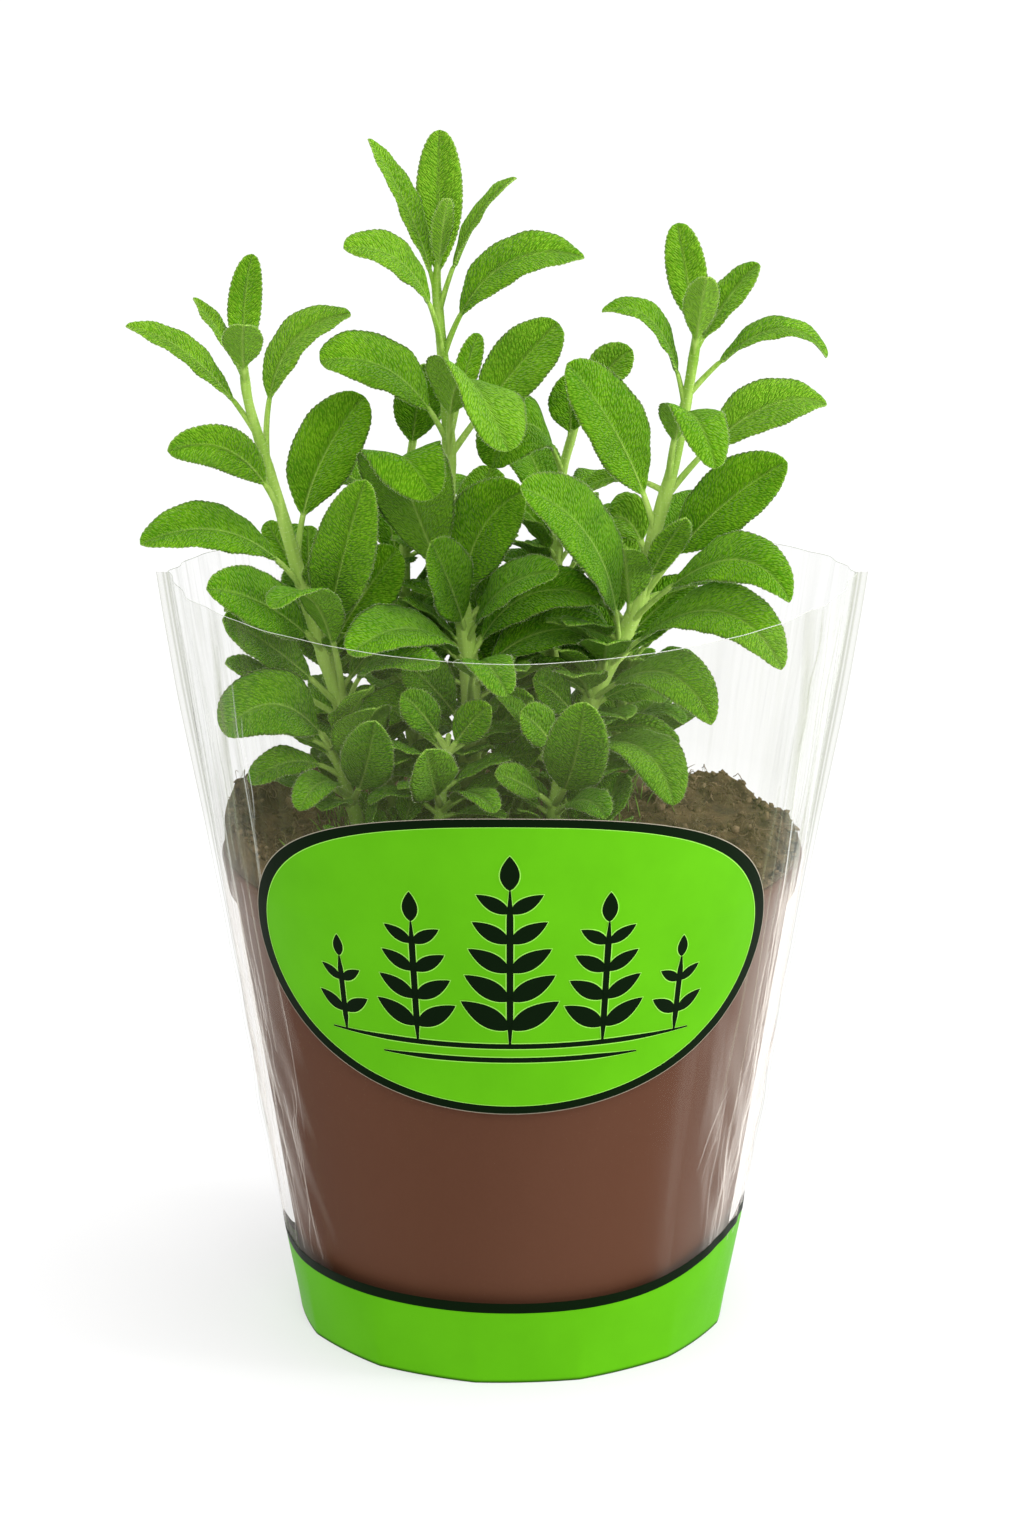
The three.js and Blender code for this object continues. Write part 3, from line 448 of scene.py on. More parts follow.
# Each stem: name, radius at its foot, the points that its axis runs through, and its leaves
STEMS = [
    dict(name="stem_left", radius=2.4, path=[
        (-28, 3, ROOT_TOP), (-33, 1, 137), (-39, 0, 149), (-43, 0, 161), (-47, 0, 174), (-51, -1, 188),
        (-55, -3, 204), (-59, -5, 219), (-62, -7, 231), (-63, -8, 241),
    ], leaves=[
        leaf(237, (-61, 6, 263), 8, up=(0, -1, 0.2), via=(-64, 4, 252), stalk=0.12),
        leaf(236, (-75, 4, 253), 7, up=(0.7, -0.4, 0.6), stalk=0.15, pointed=0.8),
        leaf(235, (-62, -24, 253), 9.5, up=(0, 0.7, 0.7), via=(-63, -16, 246), stalk=0.25),
        leaf(221, (-90, -12, 250), 9, up=(0.5, -0.5, 0.8), via=(-73, -9, 246), stalk=0.25, pointed=0.7),
        leaf(214, (-38, 4, 249), 12, up=(-0.5, -0.6, 0.6), via=(-60, 0, 247), stalk=0.34),
        leaf(200, (-80, -24, 223), 10.5, up=(0.1, -0.9, 0.3), via=(-63, -14, 228)),
        leaf(188, (-35, 8, 228), 17, up=(-0.3, -0.9, 0.3), via=(-51, 4, 210), stalk=0.28),
        leaf(182, (-87, -22, 200), 14, up=(0.1, -0.6, 0.8), via=(-64, -14, 209), stalk=0.24, pointed=0.6),
        leaf(167, (-34, -24, 216), 15, up=(-0.1, -0.9, 0.3), via=(-41, -19, 194), stalk=0.18),
        leaf(152, (-56, -38, 189), 12, via=(-43, -26, 200), stalk=0.4),
        leaf(180, (-59, 12, 196), 7, up=(0, -0.9, 0.3)),
        leaf(179, (-49, 16, 194), 7, up=(0, -0.9, 0.3)),
        leaf(167, (-71, -32, 192), 15, up=(0, -0.8, 0.6), via=(-58, -22, 189), stalk=0.2),
        leaf(152, (-68, -20, 181), 13, up=(0, -0.7, 0.7), via=(-56, -10, 173), stalk=0.3),
        leaf(149, (-68, -12, 168), 8, up=(0, -0.5, 0.85), stalk=0.5),
        leaf(150, (-17, -28, 172), 11, up=(0, -0.5, 0.9), via=(-38, -22, 177), stalk=0.42),
        leaf(148, (-57, 10, 149), 11, up=(0, -0.5, 0.9), via=(-48, 6, 156)),
        leaf(166, (-27, 2, 192), 15, up=(0, -0.8, 0.5), stalk=0.2),
        leaf(156, (-53, 30, 180), 13, stalk=0.3),
        leaf(174, (-54, 28, 191), 12, stalk=0.3),
    ]),
    dict(name="stem_centre", radius=2.6, path=[
        (-11, 8, ROOT_TOP), (-10, 7, 143), (-10, 6, 156), (-11, 6, 169), (-13, 5, 183), (-15, 4, 200),
        (-15, 4, 218), (-16, 4, 234), (-17, 4, 246), (-18, 4, 258),
    ], leaves=[
        leaf(253, (-17, 14, 291), 11, up=(0, -1, 0.2), via=(-17, 8, 274), stalk=0.14),
        leaf(252, (-33.5, 3, 291.2), 9, up=(0.8, -0.5, 0.3), via=(-22, 2, 274), stalk=0.16, pointed=0.8),
        leaf(257, (-15, -6, 279), 5, stalk=0.2),
        leaf(249, (1, -2, 283), 9, up=(-0.7, -0.2, 0.6), via=(-11, -1, 275), stalk=0.3, pointed=0.9),
        leaf(238, (-39, -14, 269), 11, up=(0.3, -0.6, 0.8), via=(-20, -8, 270), stalk=0.34),
        leaf(238, (17, 2, 263), 13, up=(-0.4, -0.7, 0.7), via=(-7, 0, 270), stalk=0.24, pointed=0.9),
        leaf(217, (-45, -6, 240), 16, up=(0.3, -0.6, 0.7), via=(-26, -3, 244), stalk=0.25),
        leaf(213, (-1, -32, 225), 20, up=(0.4, 0.3, 0.8), via=(-15, -16, 257), stalk=0.26),
        leaf(218, (-8, 18, 241), 6, up=(0, -0.9, 0.3), stalk=0.3),
        leaf(214, (11, 16, 244), 15, up=(-0.3, -0.9, 0.3), stalk=0.3),
        leaf(172, (-18, -25, 212), 21, up=(0, 0.7, 0.6), via=(-37, -12, 239), stalk=0.24),
        leaf(176, (3, -8, 209), 18, up=(-0.3, -0.9, 0.3), via=(-11, -2, 201), stalk=0.15),
        leaf(170, (-19, -20, 200), 14, up=(0.2, -0.8, 0.5), via=(-14, -9, 186), stalk=0.15),
        leaf(167, (11, -18, 192), 13, up=(-0.2, -0.6, 0.8), via=(-5, -11, 190), stalk=0.2),
        leaf(161, (-38, -32, 176), 16, up=(0, -0.6, 0.85), via=(-22, -20, 187), stalk=0.15),
        leaf(150, (-1, -42, 169), 12, up=(0, -0.4, 1), via=(-10, -34, 185), stalk=0.4),
        leaf(162, (21, 0, 180), 14, up=(0, -0.6, 0.8), via=(0, -2, 190), stalk=0.18),
        leaf(157, (25, 14, 166), 15, up=(0, -0.5, 0.9), via=(5, 10, 176), stalk=0.18),
        leaf(140, (-38, -8, 149), 13, up=(0, -0.5, 0.9), via=(-22, -6, 165), stalk=0.2),
        leaf(178, (-5, 26, 206), 13, up=(0, -0.9, 0.3), stalk=0.25),
        leaf(144, (-26, -10, 168), 13, up=(0.2, -0.8, 0.4)),
        leaf(138, (5, -8, 158), 12, up=(-0.2, -0.8, 0.4)),
        leaf(133, (7, -4, 143), 10, up=(0, -0.7, 0.6)),
    ]),
    dict(name="stem_right", radius=2.5, path=[
        (11, 12, ROOT_TOP), (15, 10, 140), (20, 8, 155), (26, 6, 168), (31, 5, 180), (34, 3, 196),
        (38, 1, 212), (41, 0, 228), (43, -2, 242), (44, -2, 249),
    ], leaves=[
        leaf(244, (39, 8, 270), 9.5, up=(0, -1, 0.2), stalk=0.12),
        leaf(240, (45, -18, 263), 8, up=(0, 0.8, 0.6), stalk=0.2),
        leaf(241, (58, 5, 261), 10, up=(-0.6, -0.6, 0.5), stalk=0.14),
        leaf(227, (21, -6, 252), 9, up=(0.3, -0.4, 0.8), via=(36, -4, 257), stalk=0.24, pointed=0.8),
        leaf(230, (74, -2, 240), 10, up=(-0.1, -0.3, 1), via=(63, -1, 257), stalk=0.26),
        leaf(204, (75, 12, 225), 14, up=(-0.2, -0.7, 0.7), via=(58, 7, 233), stalk=0.32, pointed=0.9),
        leaf(208, (47, -36, 222), 13, up=(0.2, -0.2, 1), via=(39, -22, 247), stalk=0.3),
        leaf(196, (13, -12, 241), 17, up=(0.4, -0.8, 0.4), via=(28, -8, 222), stalk=0.22),
        leaf(176, (65, -4, 215), 17, up=(-0.4, -0.8, 0.4), via=(45, -2, 204), stalk=0.34, pointed=0.4),
        leaf(172, (65, -26, 187), 14, up=(0.1, -0.7, 0.7), via=(54, -18, 208), stalk=0.3, pointed=0.8),
        leaf(180, (41, -10, 203), 8, up=(0.3, -0.9, 0.3), stalk=0.2),
        leaf(164, (44, 18, 180), 11, up=(0, -0.6, 0.8)),
        leaf(160, (63, -34, 173), 16, up=(0, -0.6, 0.8), via=(49, -20, 198), stalk=0.22, pointed=0.6),
        leaf(167, (2, -34, 217), 18, up=(0.4, -0.7, 0.5), via=(24, -22, 206), stalk=0.18),
        leaf(206, (15, 8, 204), 8, up=(0, -0.3, 1), via=(25, 4, 213)),
        leaf(188, (21, 14, 194), 13, up=(0, -0.8, 0.6), via=(28, 12, 203)),
        leaf(152, (47, -26, 157), 14, up=(0, -0.6, 0.8), via=(38, -16, 177), stalk=0.22, pointed=0.7),
        leaf(149, (37, 6, 153), 11, up=(0, -0.5, 0.9), via=(30, 6, 161)),
        leaf(138, (38, -32, 139), 15, up=(0.2, -0.6, 0.8), via=(33, -20, 158), stalk=0.22),
        leaf(141, (40, 2, 143), 7, up=(0, -0.5, 0.9), via=(30, 5, 152)),
        leaf(186, (46, 32, 198), 13, stalk=0.3),
        leaf(158, (48, 30, 174), 13, stalk=0.25),
        leaf(146, (5, 1, 160), 11, up=(0.2, -0.7, 0.6)),
    ]),
    dict(name="stem_back_right", radius=2.1, path=[
        (4, 24, ROOT_TOP), (9, 26, 147), (10, 27, 165), (11, 27, 185), (12, 28, 203), (15, 28, 215),
        (18, 29, 225),
    ], leaves=[
        leaf(221, (29, 30, 234), 11, up=(-0.2, -0.7, 0.6), stalk=0.15),
        leaf(212, (14, 23, 230), 11, up=(0.1, -0.9, 0.3), stalk=0.12),
        leaf(204, (-5, 10, 210), 16, up=(-0.1, -0.8, 0.6), via=(4, 18, 230), stalk=0.2),
        leaf(214, (20, 54, 222), 12),
        leaf(192, (28, 56, 194), 14, via=(22, 42, 203)),
        leaf(186, (2, 58, 203), 14, via=(6, 44, 206)),
        leaf(174, (33, 40, 192), 13, via=(22, 34, 192)),
        leaf(145, (-7, 26, 164), 13, up=(0, -0.8, 0.5), via=(0, 24, 160)),
        leaf(150, (23, 20, 166), 13, up=(0, -0.8, 0.5)),
        leaf(134, (-4, 16, 150), 12, up=(0, -0.8, 0.5)),
    ]),
    dict(name="stem_back_left", radius=2.1, path=[
        (-22, 26, ROOT_TOP), (-25, 28, 145), (-26, 29, 165), (-26, 30, 185), (-25, 30, 204),
        (-24, 30, 212),
    ], leaves=[
        leaf(149, (-54, 17, 167), 14, up=(0, -0.8, 0.5), via=(-41, 22, 165), small=True),
        leaf(139, (-51, 13, 143), 14, up=(0, -0.8, 0.5), via=(-39, 19, 150), small=True),
        leaf(206, (-21, 24, 232), 12, up=(0.2, -0.9, 0.3), stalk=0.2),
        leaf(198, (-44, 36, 205), 11, via=(-34, 32, 210)),
        leaf(206, (-20, 54, 214), 12, via=(-22, 44, 218)),
        leaf(188, (-50, 50, 199), 14, via=(-38, 40, 204)),
        leaf(186, (-8, 46, 196), 13, via=(-16, 40, 202)),
        leaf(170, (-34, 48, 200), 12, via=(-29, 34, 190)),
        leaf(156, (-50, 26, 164), 13, via=(-40, 27, 170)),
        leaf(146, (-14, 38, 162), 12, via=(-18, 34, 160)),
        leaf(150, (-36, 12, 166), 12, up=(0.1, -0.8, 0.5)),
        leaf(136, (-22, 8, 152), 12, up=(0, -0.8, 0.5)),
    ]),
    dict(name="shoot_left", radius=1.7, path=[
        (-37, -8, ROOT_TOP), (-39, -10, 134), (-42, -12, 144), (-45, -14, 151),
    ], leaves=[
        leaf(147, (-68, -26, 155), 17, up=(-0.1, -0.8, 0.6), via=(-55, -26, 171), stalk=0.16),
        leaf(139, (-62, -22, 141), 9, up=(-0.1, -0.6, 0.8), via=(-52, -17, 150)),
        leaf(134, (-50, -36, 139), 9, up=(0, -0.6, 0.8), via=(-45, -26, 148)),
        leaf(132, (-32, -36, 161), 13, up=(0, -0.9, 0.35), via=(-34, -28, 145)),
    ]),
    dict(name="shoot_front", radius=1.6, path=[
        (-17, -16, ROOT_TOP), (-17, -17, 134), (-16, -18, 144), (-15, -18, 152),
    ], leaves=[
        leaf(134, (-20, -46, 157), 13, up=(0, -0.8, 0.5), via=(-19, -38, 146)),
        leaf(148, (-26, -24, 164), 9, up=(0, -0.8, 0.5)),
        leaf(146, (-5, -24, 161), 9, up=(0, -0.8, 0.5)),
        leaf(131, (-34, -22, 136), 8, via=(-27, -20, 142)),
        leaf(132, (-4, -38, 139), 9, via=(-10, -30, 146)),
    ]),
    dict(name="shoot_front_right", radius=1.6, path=[
        (10, -14, ROOT_TOP), (10, -16, 134), (11, -17, 142), (12, -18, 149),
    ], leaves=[
        leaf(134, (17, -44, 168), 15, up=(0, -0.9, 0.35), via=(15, -38, 147)),
        leaf(146, (2, -26, 160), 10, up=(0, -0.7, 0.6)),
        leaf(131, (22, -36, 137), 9, up=(0, -0.6, 0.8), via=(18, -28, 143)),
        leaf(141, (22, -20, 152), 8, up=(0, -0.8, 0.5)),
        leaf(133, (-4, -30, 146), 8, up=(0, -0.7, 0.6)),
    ]),
    dict(name="shoot_back", radius=1.7, path=[
        (24, 30, ROOT_TOP), (26, 31, 138), (28, 31, 150), (29, 32, 158),
    ], leaves=[
        leaf(154, (46, 32, 166), 11, via=(38, 32, 168)),
        leaf(153, (16, 44, 166), 11, via=(22, 40, 168)),
        leaf(142, (32, 46, 154), 11, via=(30, 40, 156)),
        leaf(136, (42, 26, 141), 10, via=(36, 30, 147)),
    ]),
]


# Meshes

def unit(vectors):
    return vectors / np.linalg.norm(vectors, axis=-1, keepdims=True)


def smoothstep(low, high, value):
    share = np.clip((value - low) / (high - low), 0, 1)
    return share * share * (3 - 2 * share)


def tube_faces(rings, sides):
    """Quads round rings that run the same way as seen from the end, with the ends shut."""
    faces = []
    for i in range(rings - 1):
        for j in range(sides):
            near, beside = i * sides + j, i * sides + (j + 1) % sides
            faces.append((near, beside, beside + sides, near + sides))
    return [*faces, tuple(reversed(range(sides))), tuple(range((rings - 1) * sides, rings * sides))]


def sheet_faces(rows, columns):
    return [(i * columns + j, i * columns + j + 1, (i + 1) * columns + j + 1, (i + 1) * columns + j)
            for i in range(rows - 1) for j in range(columns - 1)]


class Shape:
    """Points, faces and per-point marks that grow part by part and become one mesh."""

    def __init__(self, *marks):
        self.points, self.faces, self.count = [], [], 0
        self.marks = {name: [] for name in marks}

    def add(self, points, faces, **marks):
        """Adds points, in a list or a grid, with marks for all, or for each row, column or point."""
        points = np.asarray(points, float)
        for name, values in self.marks.items():
            given = np.asarray(marks.get(name, 0), float)
            values.append(np.broadcast_to(given, points.shape[:-1]).ravel())
        points = points.reshape(-1, 3)
        self.points.append(points)
        self.faces.extend([corner + self.count for corner in face] for face in faces)
        self.count += len(points)

    def add_sheet(self, points, **marks):
        self.add(points, sheet_faces(*points.shape[:2]), **marks)

    def add_tube(self, points, **marks):
        self.add(points, tube_faces(*points.shape[:2]), **marks)

    def make_object(self, name):
        mesh = bpy.data.meshes.new(name)
        mesh.from_pydata((np.concatenate(self.points) * MM).tolist(), [], self.faces)
        made = bpy.data.objects.new(name, mesh)
        bpy.context.scene.collection.objects.link(made)
        return made

    def piece(self, name, material, slot, *replaced):
        """Makes the mesh a piece of the part with a material, in place of CAD nodes; the slot is not used."""
        piece = self.make_object(name)
        for mark, values in self.marks.items():
            attribute = piece.data.attributes.new(mark, "FLOAT", "POINT")
            attribute.data.foreach_set("value", np.concatenate(values).astype(np.float32))
        piece.data.materials.append(material)
        piece.data.shade_smooth()
        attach(piece, "root")
        if replaced:
            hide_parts(*replaced)
        return piece


def ring_angles(sides):
    return np.linspace(0, 2 * math.pi, sides, endpoint=False)


def lathe_rings(profile, sides):
    """A profile of radius and height, turned round the upright axis."""
    angles = ring_angles(sides)
    profile = np.array(profile, float)
    rings = np.empty((len(profile), sides, 3))
    rings[..., 0] = profile[:, :1] * np.cos(angles)
    rings[..., 1] = profile[:, :1] * np.sin(angles)
    rings[..., 2] = profile[:, 1:]
    return rings


def arc(middle, radius, first, last, steps):
    """Profile points round a middle, in degrees from the outward direction."""
    angles = np.radians(np.linspace(first, last, steps))
    return [(middle[0] + radius * math.cos(a), middle[1] + radius * math.sin(a)) for a in angles]


def circles(across, along, turns):
    """Points of unit circles at turns, each circle in the plane of its two directions."""
    return across[:, None] * np.cos(turns)[:, None] + along[:, None] * np.sin(turns)[:, None]


def strand(points, radius, sides=3):
    """A thin tube along points, with its ends drawn in."""
    points = np.array(points, float)
    tangents = unit(np.gradient(points, axis=0))
    across = unit(np.cross(tangents, STRAND_ASIDE))
    ring = circles(across, np.cross(tangents, across), ring_angles(sides))
    swell = np.ones(len(points))
    swell[0] = swell[-1] = STRAND_END
    return points[:, None] + ring * (radius * swell)[:, None, None]


# Materials

class Material:
    """A material with one Principled shader; wires it up node by node."""

    def __init__(self, name, **settings):
        self.material = bpy.data.materials.new(name)
        self.material.use_nodes = True
        self.tree = self.material.node_tree
        self.shader = self.tree.nodes["Principled BSDF"]
        self.place = self.node("TexCoord").outputs["Object"]
        for socket, value in settings.items():
            self.shader.inputs[socket.replace("_", " ")].default_value = value

    def node(self, kind, inputs=None, **settings):
        node = self.tree.nodes.new("ShaderNode" + kind)
        for name, value in settings.items():
            setattr(node, name, value)
        for socket, value in (inputs or {}).items():
            self.feed(node.inputs[socket], value)
        return node

    def feed(self, socket, value):
        if isinstance(value, bpy.types.NodeSocket):
            self.tree.links.new(value, socket)
        else:
            socket.default_value = value

    def set(self, socket, value):
        self.feed(self.shader.inputs[socket], value)

    def mark(self, name):
        return self.node("Attribute", attribute_name=name).outputs["Fac"]

    def height(self):
        """Height over the surface that the pot stands on, in metres."""
        return self.node("SeparateXYZ", {0: self.place}).outputs["Z"]

    def math(self, operation, first, second=0.0, clamp=False):
        return self.node("Math", {0: first, 1: second}, operation=operation, use_clamp=clamp).outputs[0]

    def plus(self, first, second):
        return self.math("ADD", first, second)

    def times(self, first, second):
        return self.math("MULTIPLY", first, second)

    def most(self, first, second):
        return self.math("MAXIMUM", first, second)

    def ramp(self, value, low, high, first=0.0, second=1.0):
        """Runs from first to second as the value goes from low to high."""
        return self.node("MapRange", {0: value, 1: low, 2: high, 3: first, 4: second}).outputs[0]

    def mix(self, share, first, second):
        return self.node("Mix", {0: share, 6: first, 7: second}, data_type="RGBA").outputs[2]

    def coats(self, colour, *coats):
        """Lays coats over a colour: each is how strongly it covers, and its colour."""
        for share, coat in coats:
            colour = self.mix(share, colour, coat)
        return colour

    def stretched(self, scale, place=None):
        return self.node("Mapping", {"Vector": place or self.place, "Scale": scale}).outputs[0]

    def flat_place(self, x, y, scale):
        """A place on a surface laid flat, from its two lengths and how each is stretched."""
        return self.stretched((*scale, 1), self.node("CombineXYZ", {"X": x, "Y": y}).outputs[0])

    def noise(self, scale, detail=3.0, roughness=0.55, place=None):
        inputs = {"Vector": place or self.place, "Scale": scale, "Detail": detail, "Roughness": roughness}
        return self.node("TexNoise", inputs).outputs["Fac"]

    def cells(self, scale, place=None, dimensions="3D"):
        inputs = {"Vector": place or self.place, "Scale": scale}
        return self.node("TexVoronoi", inputs, voronoi_dimensions=dimensions).outputs["Distance"]

    def bump(self, height, distance, strength=1.0, under=None):
        """Raises the surface by a distance in millimetres, over the bump under it."""
        inputs = {"Height": height, "Distance": distance * MM, "Strength": strength}
        if under:
            inputs["Normal"] = under
        return self.node("Bump", inputs).outputs["Normal"]


def leaf_pebbles(foliage, tone):
    """Tiny bumps in rows along the side veins, laid out differently on each leaf."""
    along = foliage.plus(foliage.mark("slant"), foliage.times(tone, PEBBLE_SHIFT))
    rows = foliage.flat_place(along, foliage.mark("cross"), PEBBLES_PER_MM)
    return foliage.ramp(foliage.cells(1.0, rows, "2D"), 0.1, 0.7, 1.0, 0.0)


def leaf_line(foliage, under):
    """The thin line of the midrib: it fades towards the tip above, and is broader and fainter below."""
    across = foliage.math("ABSOLUTE", foliage.mark("cross"))
    upper = foliage.times(foliage.ramp(across, 0.0, 0.38, 1.0, 0.0), foliage.mark("fade"))
    lower = foliage.times(foliage.ramp(across, 0.1, 0.5, 0.5, 0.0), under)
    return foliage.most(upper, lower)


def foliage_material():
    """Sage leaf and stem: pebbled green, a thin pale rib, a pale margin, pale stalks, white hairs and painted
    light and shade.
    """
    leaf = Material("sage_foliage", Subsurface_Weight=0.05, Subsurface_Scale=0.0004,
                    Subsurface_Radius=(0.5, 1.0, 0.2), Sheen_Weight=0.12, Sheen_Roughness=0.25,
                    Sheen_Tint=LEAF_SHEEN, Specular_IOR_Level=0.08)
    under, tone, height = leaf.mark("under"), leaf.mark("tone"), leaf.height()
    pebbles = leaf_pebbles(leaf, tone)
    line = leaf_line(leaf, under)
    rib = leaf.most(leaf.mark("rib"), line)
    rim = leaf.ramp(leaf.mark("margin"), 0.05, 0.42, 1.0, 0.0)
    patches = leaf.noise(110, detail=4)
    streaks = leaf.noise(500, place=leaf.stretched((1, 1, 0.05)))
    blade = leaf.coats(
        LEAF_DARK,
        (leaf.ramp(patches, 0.3, 0.72, 0.35, 1.0), LEAF_GREEN),
        # Painted light on high leaves and painted shade on low ones, by their tone
        (leaf.ramp(tone, 0, 1, 0.0, 0.3), LEAF_PALE),
        (leaf.ramp(tone, -0.1, -0.8, 0.0, 0.4), LEAF_DARK),
        # Painted shade in the hollows between the bumps; the pale tops are partly painted highlight and
        # partly pale down
        (leaf.ramp(pebbles, 0.0, 0.5, 0.58, 0.0), LEAF_DARK),
        (leaf.ramp(pebbles, 0.45, 1.0, 0.0, 0.28), LEAF_PALE),
        # Painted shade along the sunken side veins
        (leaf.ramp(leaf.mark("vein"), 0, 1, 0.0, 0.3), LEAF_DARK),
        (leaf.times(under, 0.28), LEAF_UNDER),
        (leaf.times(rim, 0.4), STEM_PALE),
    )
    stalk = leaf.coats(
        STEM_GREEN,
        (leaf.ramp(streaks, 0.42, 0.9), STEM_PALE),
        # Painted light: stalks are paler the lower they stand, where the leaves shade them
        (leaf.ramp(height, 0.19, 0.25, 0.5, 0.0), STEM_PALE),
        (leaf.times(line, 0.6), STEM_PALE),
    )
    leaf.set("Base Color", leaf.coats(
        blade,
        (rib, stalk),
        # Painted shade: foliage darkens low in the sleeve, under the leaves
        (leaf.ramp(height, 0.125, 0.15, 0.6, 0.0), LEAF_DARK),
        (leaf.times(leaf.mark("hair"), 0.9), HAIR_WHITE),
    ))
    raised = leaf.bump(leaf.times(pebbles, leaf.ramp(rib, 0, 1, 1.0, 0.15)), 0.55)
    leaf.set("Normal", leaf.bump(leaf.noise(2600, detail=2), 0.05, 0.5, raised))
    leaf.set("Roughness", leaf.ramp(pebbles, 0, 1, 0.75, 0.55))
    return leaf.material


def pot_material():
    """Thin moulded plastic: fine satin grain, faint flow marks, and scuffs on the rim and foot."""
    pot = Material("pot_plastic", Specular_IOR_Level=0.06)
    flow = pot.noise(16, detail=4, place=pot.stretched((1, 1, 0.25)))
    grain = pot.ramp(pot.noise(1500), 0.35, 0.7, 0.0, 0.08)
    worn = pot.times(pot.mark("worn"), pot.ramp(pot.noise(240, detail=4), 0.42, 0.62))
    shade = pot.plus(pot.ramp(flow, 0.3, 0.75, 0.0, 0.22), grain)
    coats = (shade, POT_BROWN_WORN), (pot.times(worn, 0.6), POT_BROWN_WORN)
    pot.set("Base Color", pot.coats(POT_BROWN, *coats))
    pot.set("Roughness", pot.ramp(flow, 0.3, 0.7, 0.5, 0.56))
    pot.set("Normal", pot.bump(flow, 0.3, 0.3))
    return pot.material


def soil_material():
    """Peat: near-black damp crumbs, brown fibre and a few pale flecks."""
    soil = Material("soil_peat", Specular_IOR_Level=0.1)
    clods = soil.noise(190, 6, 0.65)
    soil.set("Base Color", soil.coats(
        SOIL_DARK,
        (soil.ramp(clods, 0.32, 0.68), SOIL_MID),
        (soil.ramp(soil.cells(900), 0.05, 0.2, 0.5, 0.0), SOIL_PALE),
        (soil.ramp(soil.mark("tone"), 0, 1, 0.0, 0.9), SOIL_PALE),
    ))
    soil.set("Roughness", soil.ramp(clods, 0.3, 0.7, 0.7, 0.98))
    rough = soil.bump(soil.noise(700, 6, 0.7), 0.8)
    soil.set("Normal", soil.bump(soil.noise(3200), 0.15, 0.8, rough))
    return soil.material


def film_material():
    """Clear film: nearly unseen face on, whiter where it turns away, with milky folds and creases in painted
    light and shade.
    """
    film = Material("sleeve_film", Roughness=0.12, Specular_IOR_Level=0.3)
    height, around = film.height(), film.mark("around")
    folds = film.noise(110, 3, 0.5, film.flat_place(around, height, FILM_FOLD_STRETCH))
    streaks = film.noise(420, 3, 0.6, film.flat_place(around, height, FILM_STREAK_STRETCH))
    low = film.ramp(height, 0.112, 0.128, 1.0, 0.0)
    turned = film.node("LayerWeight", {"Blend": 0.35}).outputs["Facing"]
    clear = film.times(film.ramp(low, 0, 1, 0.3, 1.0), film.ramp(height, 0.02, 0.05, 0.4, 1.0))
    haze = film.times(film.ramp(turned, 0.38, 0.7, 0.0, 0.27), clear)
    # Milky film, on the right partly painted light
    milky = film.times(film.ramp(folds, 0.5, 0.72, 0.3, 1.0), film.mark("milk"))
    white = film.plus(film.plus(haze, milky), film.mark("bright"))
    shade = film.plus(film.ramp(folds, 0.5, 0.3, 0.0, 0.09), film.ramp(streaks, 0.5, 0.34, 0.0, 0.08))
    shade = film.times(shade, film.times(film.mark("side"), film.ramp(low, 0, 1, 1.0, 0.15)))
    dark = film.plus(film.plus(shade, film.ramp(low, 0, 1, 0.078, 0.0)), film.mark("dark"))
    alpha = film.math("ADD", white, dark, clamp=True)
    film.set("Alpha", alpha)
    dark_share = film.math("DIVIDE", dark, film.most(alpha, 0.001))
    film.set("Base Color", film.coats(FILM_WHITE, (low, FILM_WARM), (dark_share, FILM_GREY)))
    film.set("Normal", film.bump(folds, 1.0, 0.3))
    return film.material


def ink_material(name, colour, deeper):
    """Printing ink on film: even and glossy, with a faint mottle, ripples and a dark line of painted shade at
    its foot.
    """
    ink = Material(name, Specular_IOR_Level=0.03)
    mottle = ink.ramp(ink.noise(42, detail=5), 0.3, 0.7)
    # Painted shade in the lowest millimetre, where the film's foot turns under
    foot = ink.ramp(ink.height(), 0.0002, 0.001, 0.85, 0.0)
    ink.set("Base Color", ink.coats(colour, (mottle, deeper), (foot, INK_DARK)))
    ink.set("Roughness", ink.ramp(ink.noise(2400, detail=1), 0.3, 0.7, 0.34, 0.44))
    ripples = ink.noise(60, 3, 0.5, ink.stretched((1, 1, 0.2)))
    ink.set("Normal", ink.bump(ripples, 0.6, 0.35))
    return ink.material


def floor_material():
    """Smooth pale paper that glows a little, as under studio light."""
    floor = Material("studio_floor", Roughness=0.85, Specular_IOR_Level=0.2, Emission_Strength=FLOOR_GLOW)
    floor.set("Emission Color", WHITE)
    paper = floor.noise(900)
    floor.set("Base Color", floor.mix(floor.ramp(paper, 0.3, 0.7, 0.0, 0.04), FLOOR_WHITE, PAPER_GREY))
    floor.set("Normal", floor.bump(paper, 0.05, 0.2))
    return floor.material


# Pot

def pot_outer(height):
    return POT_BASE_RADIUS + POT_TAPER * height


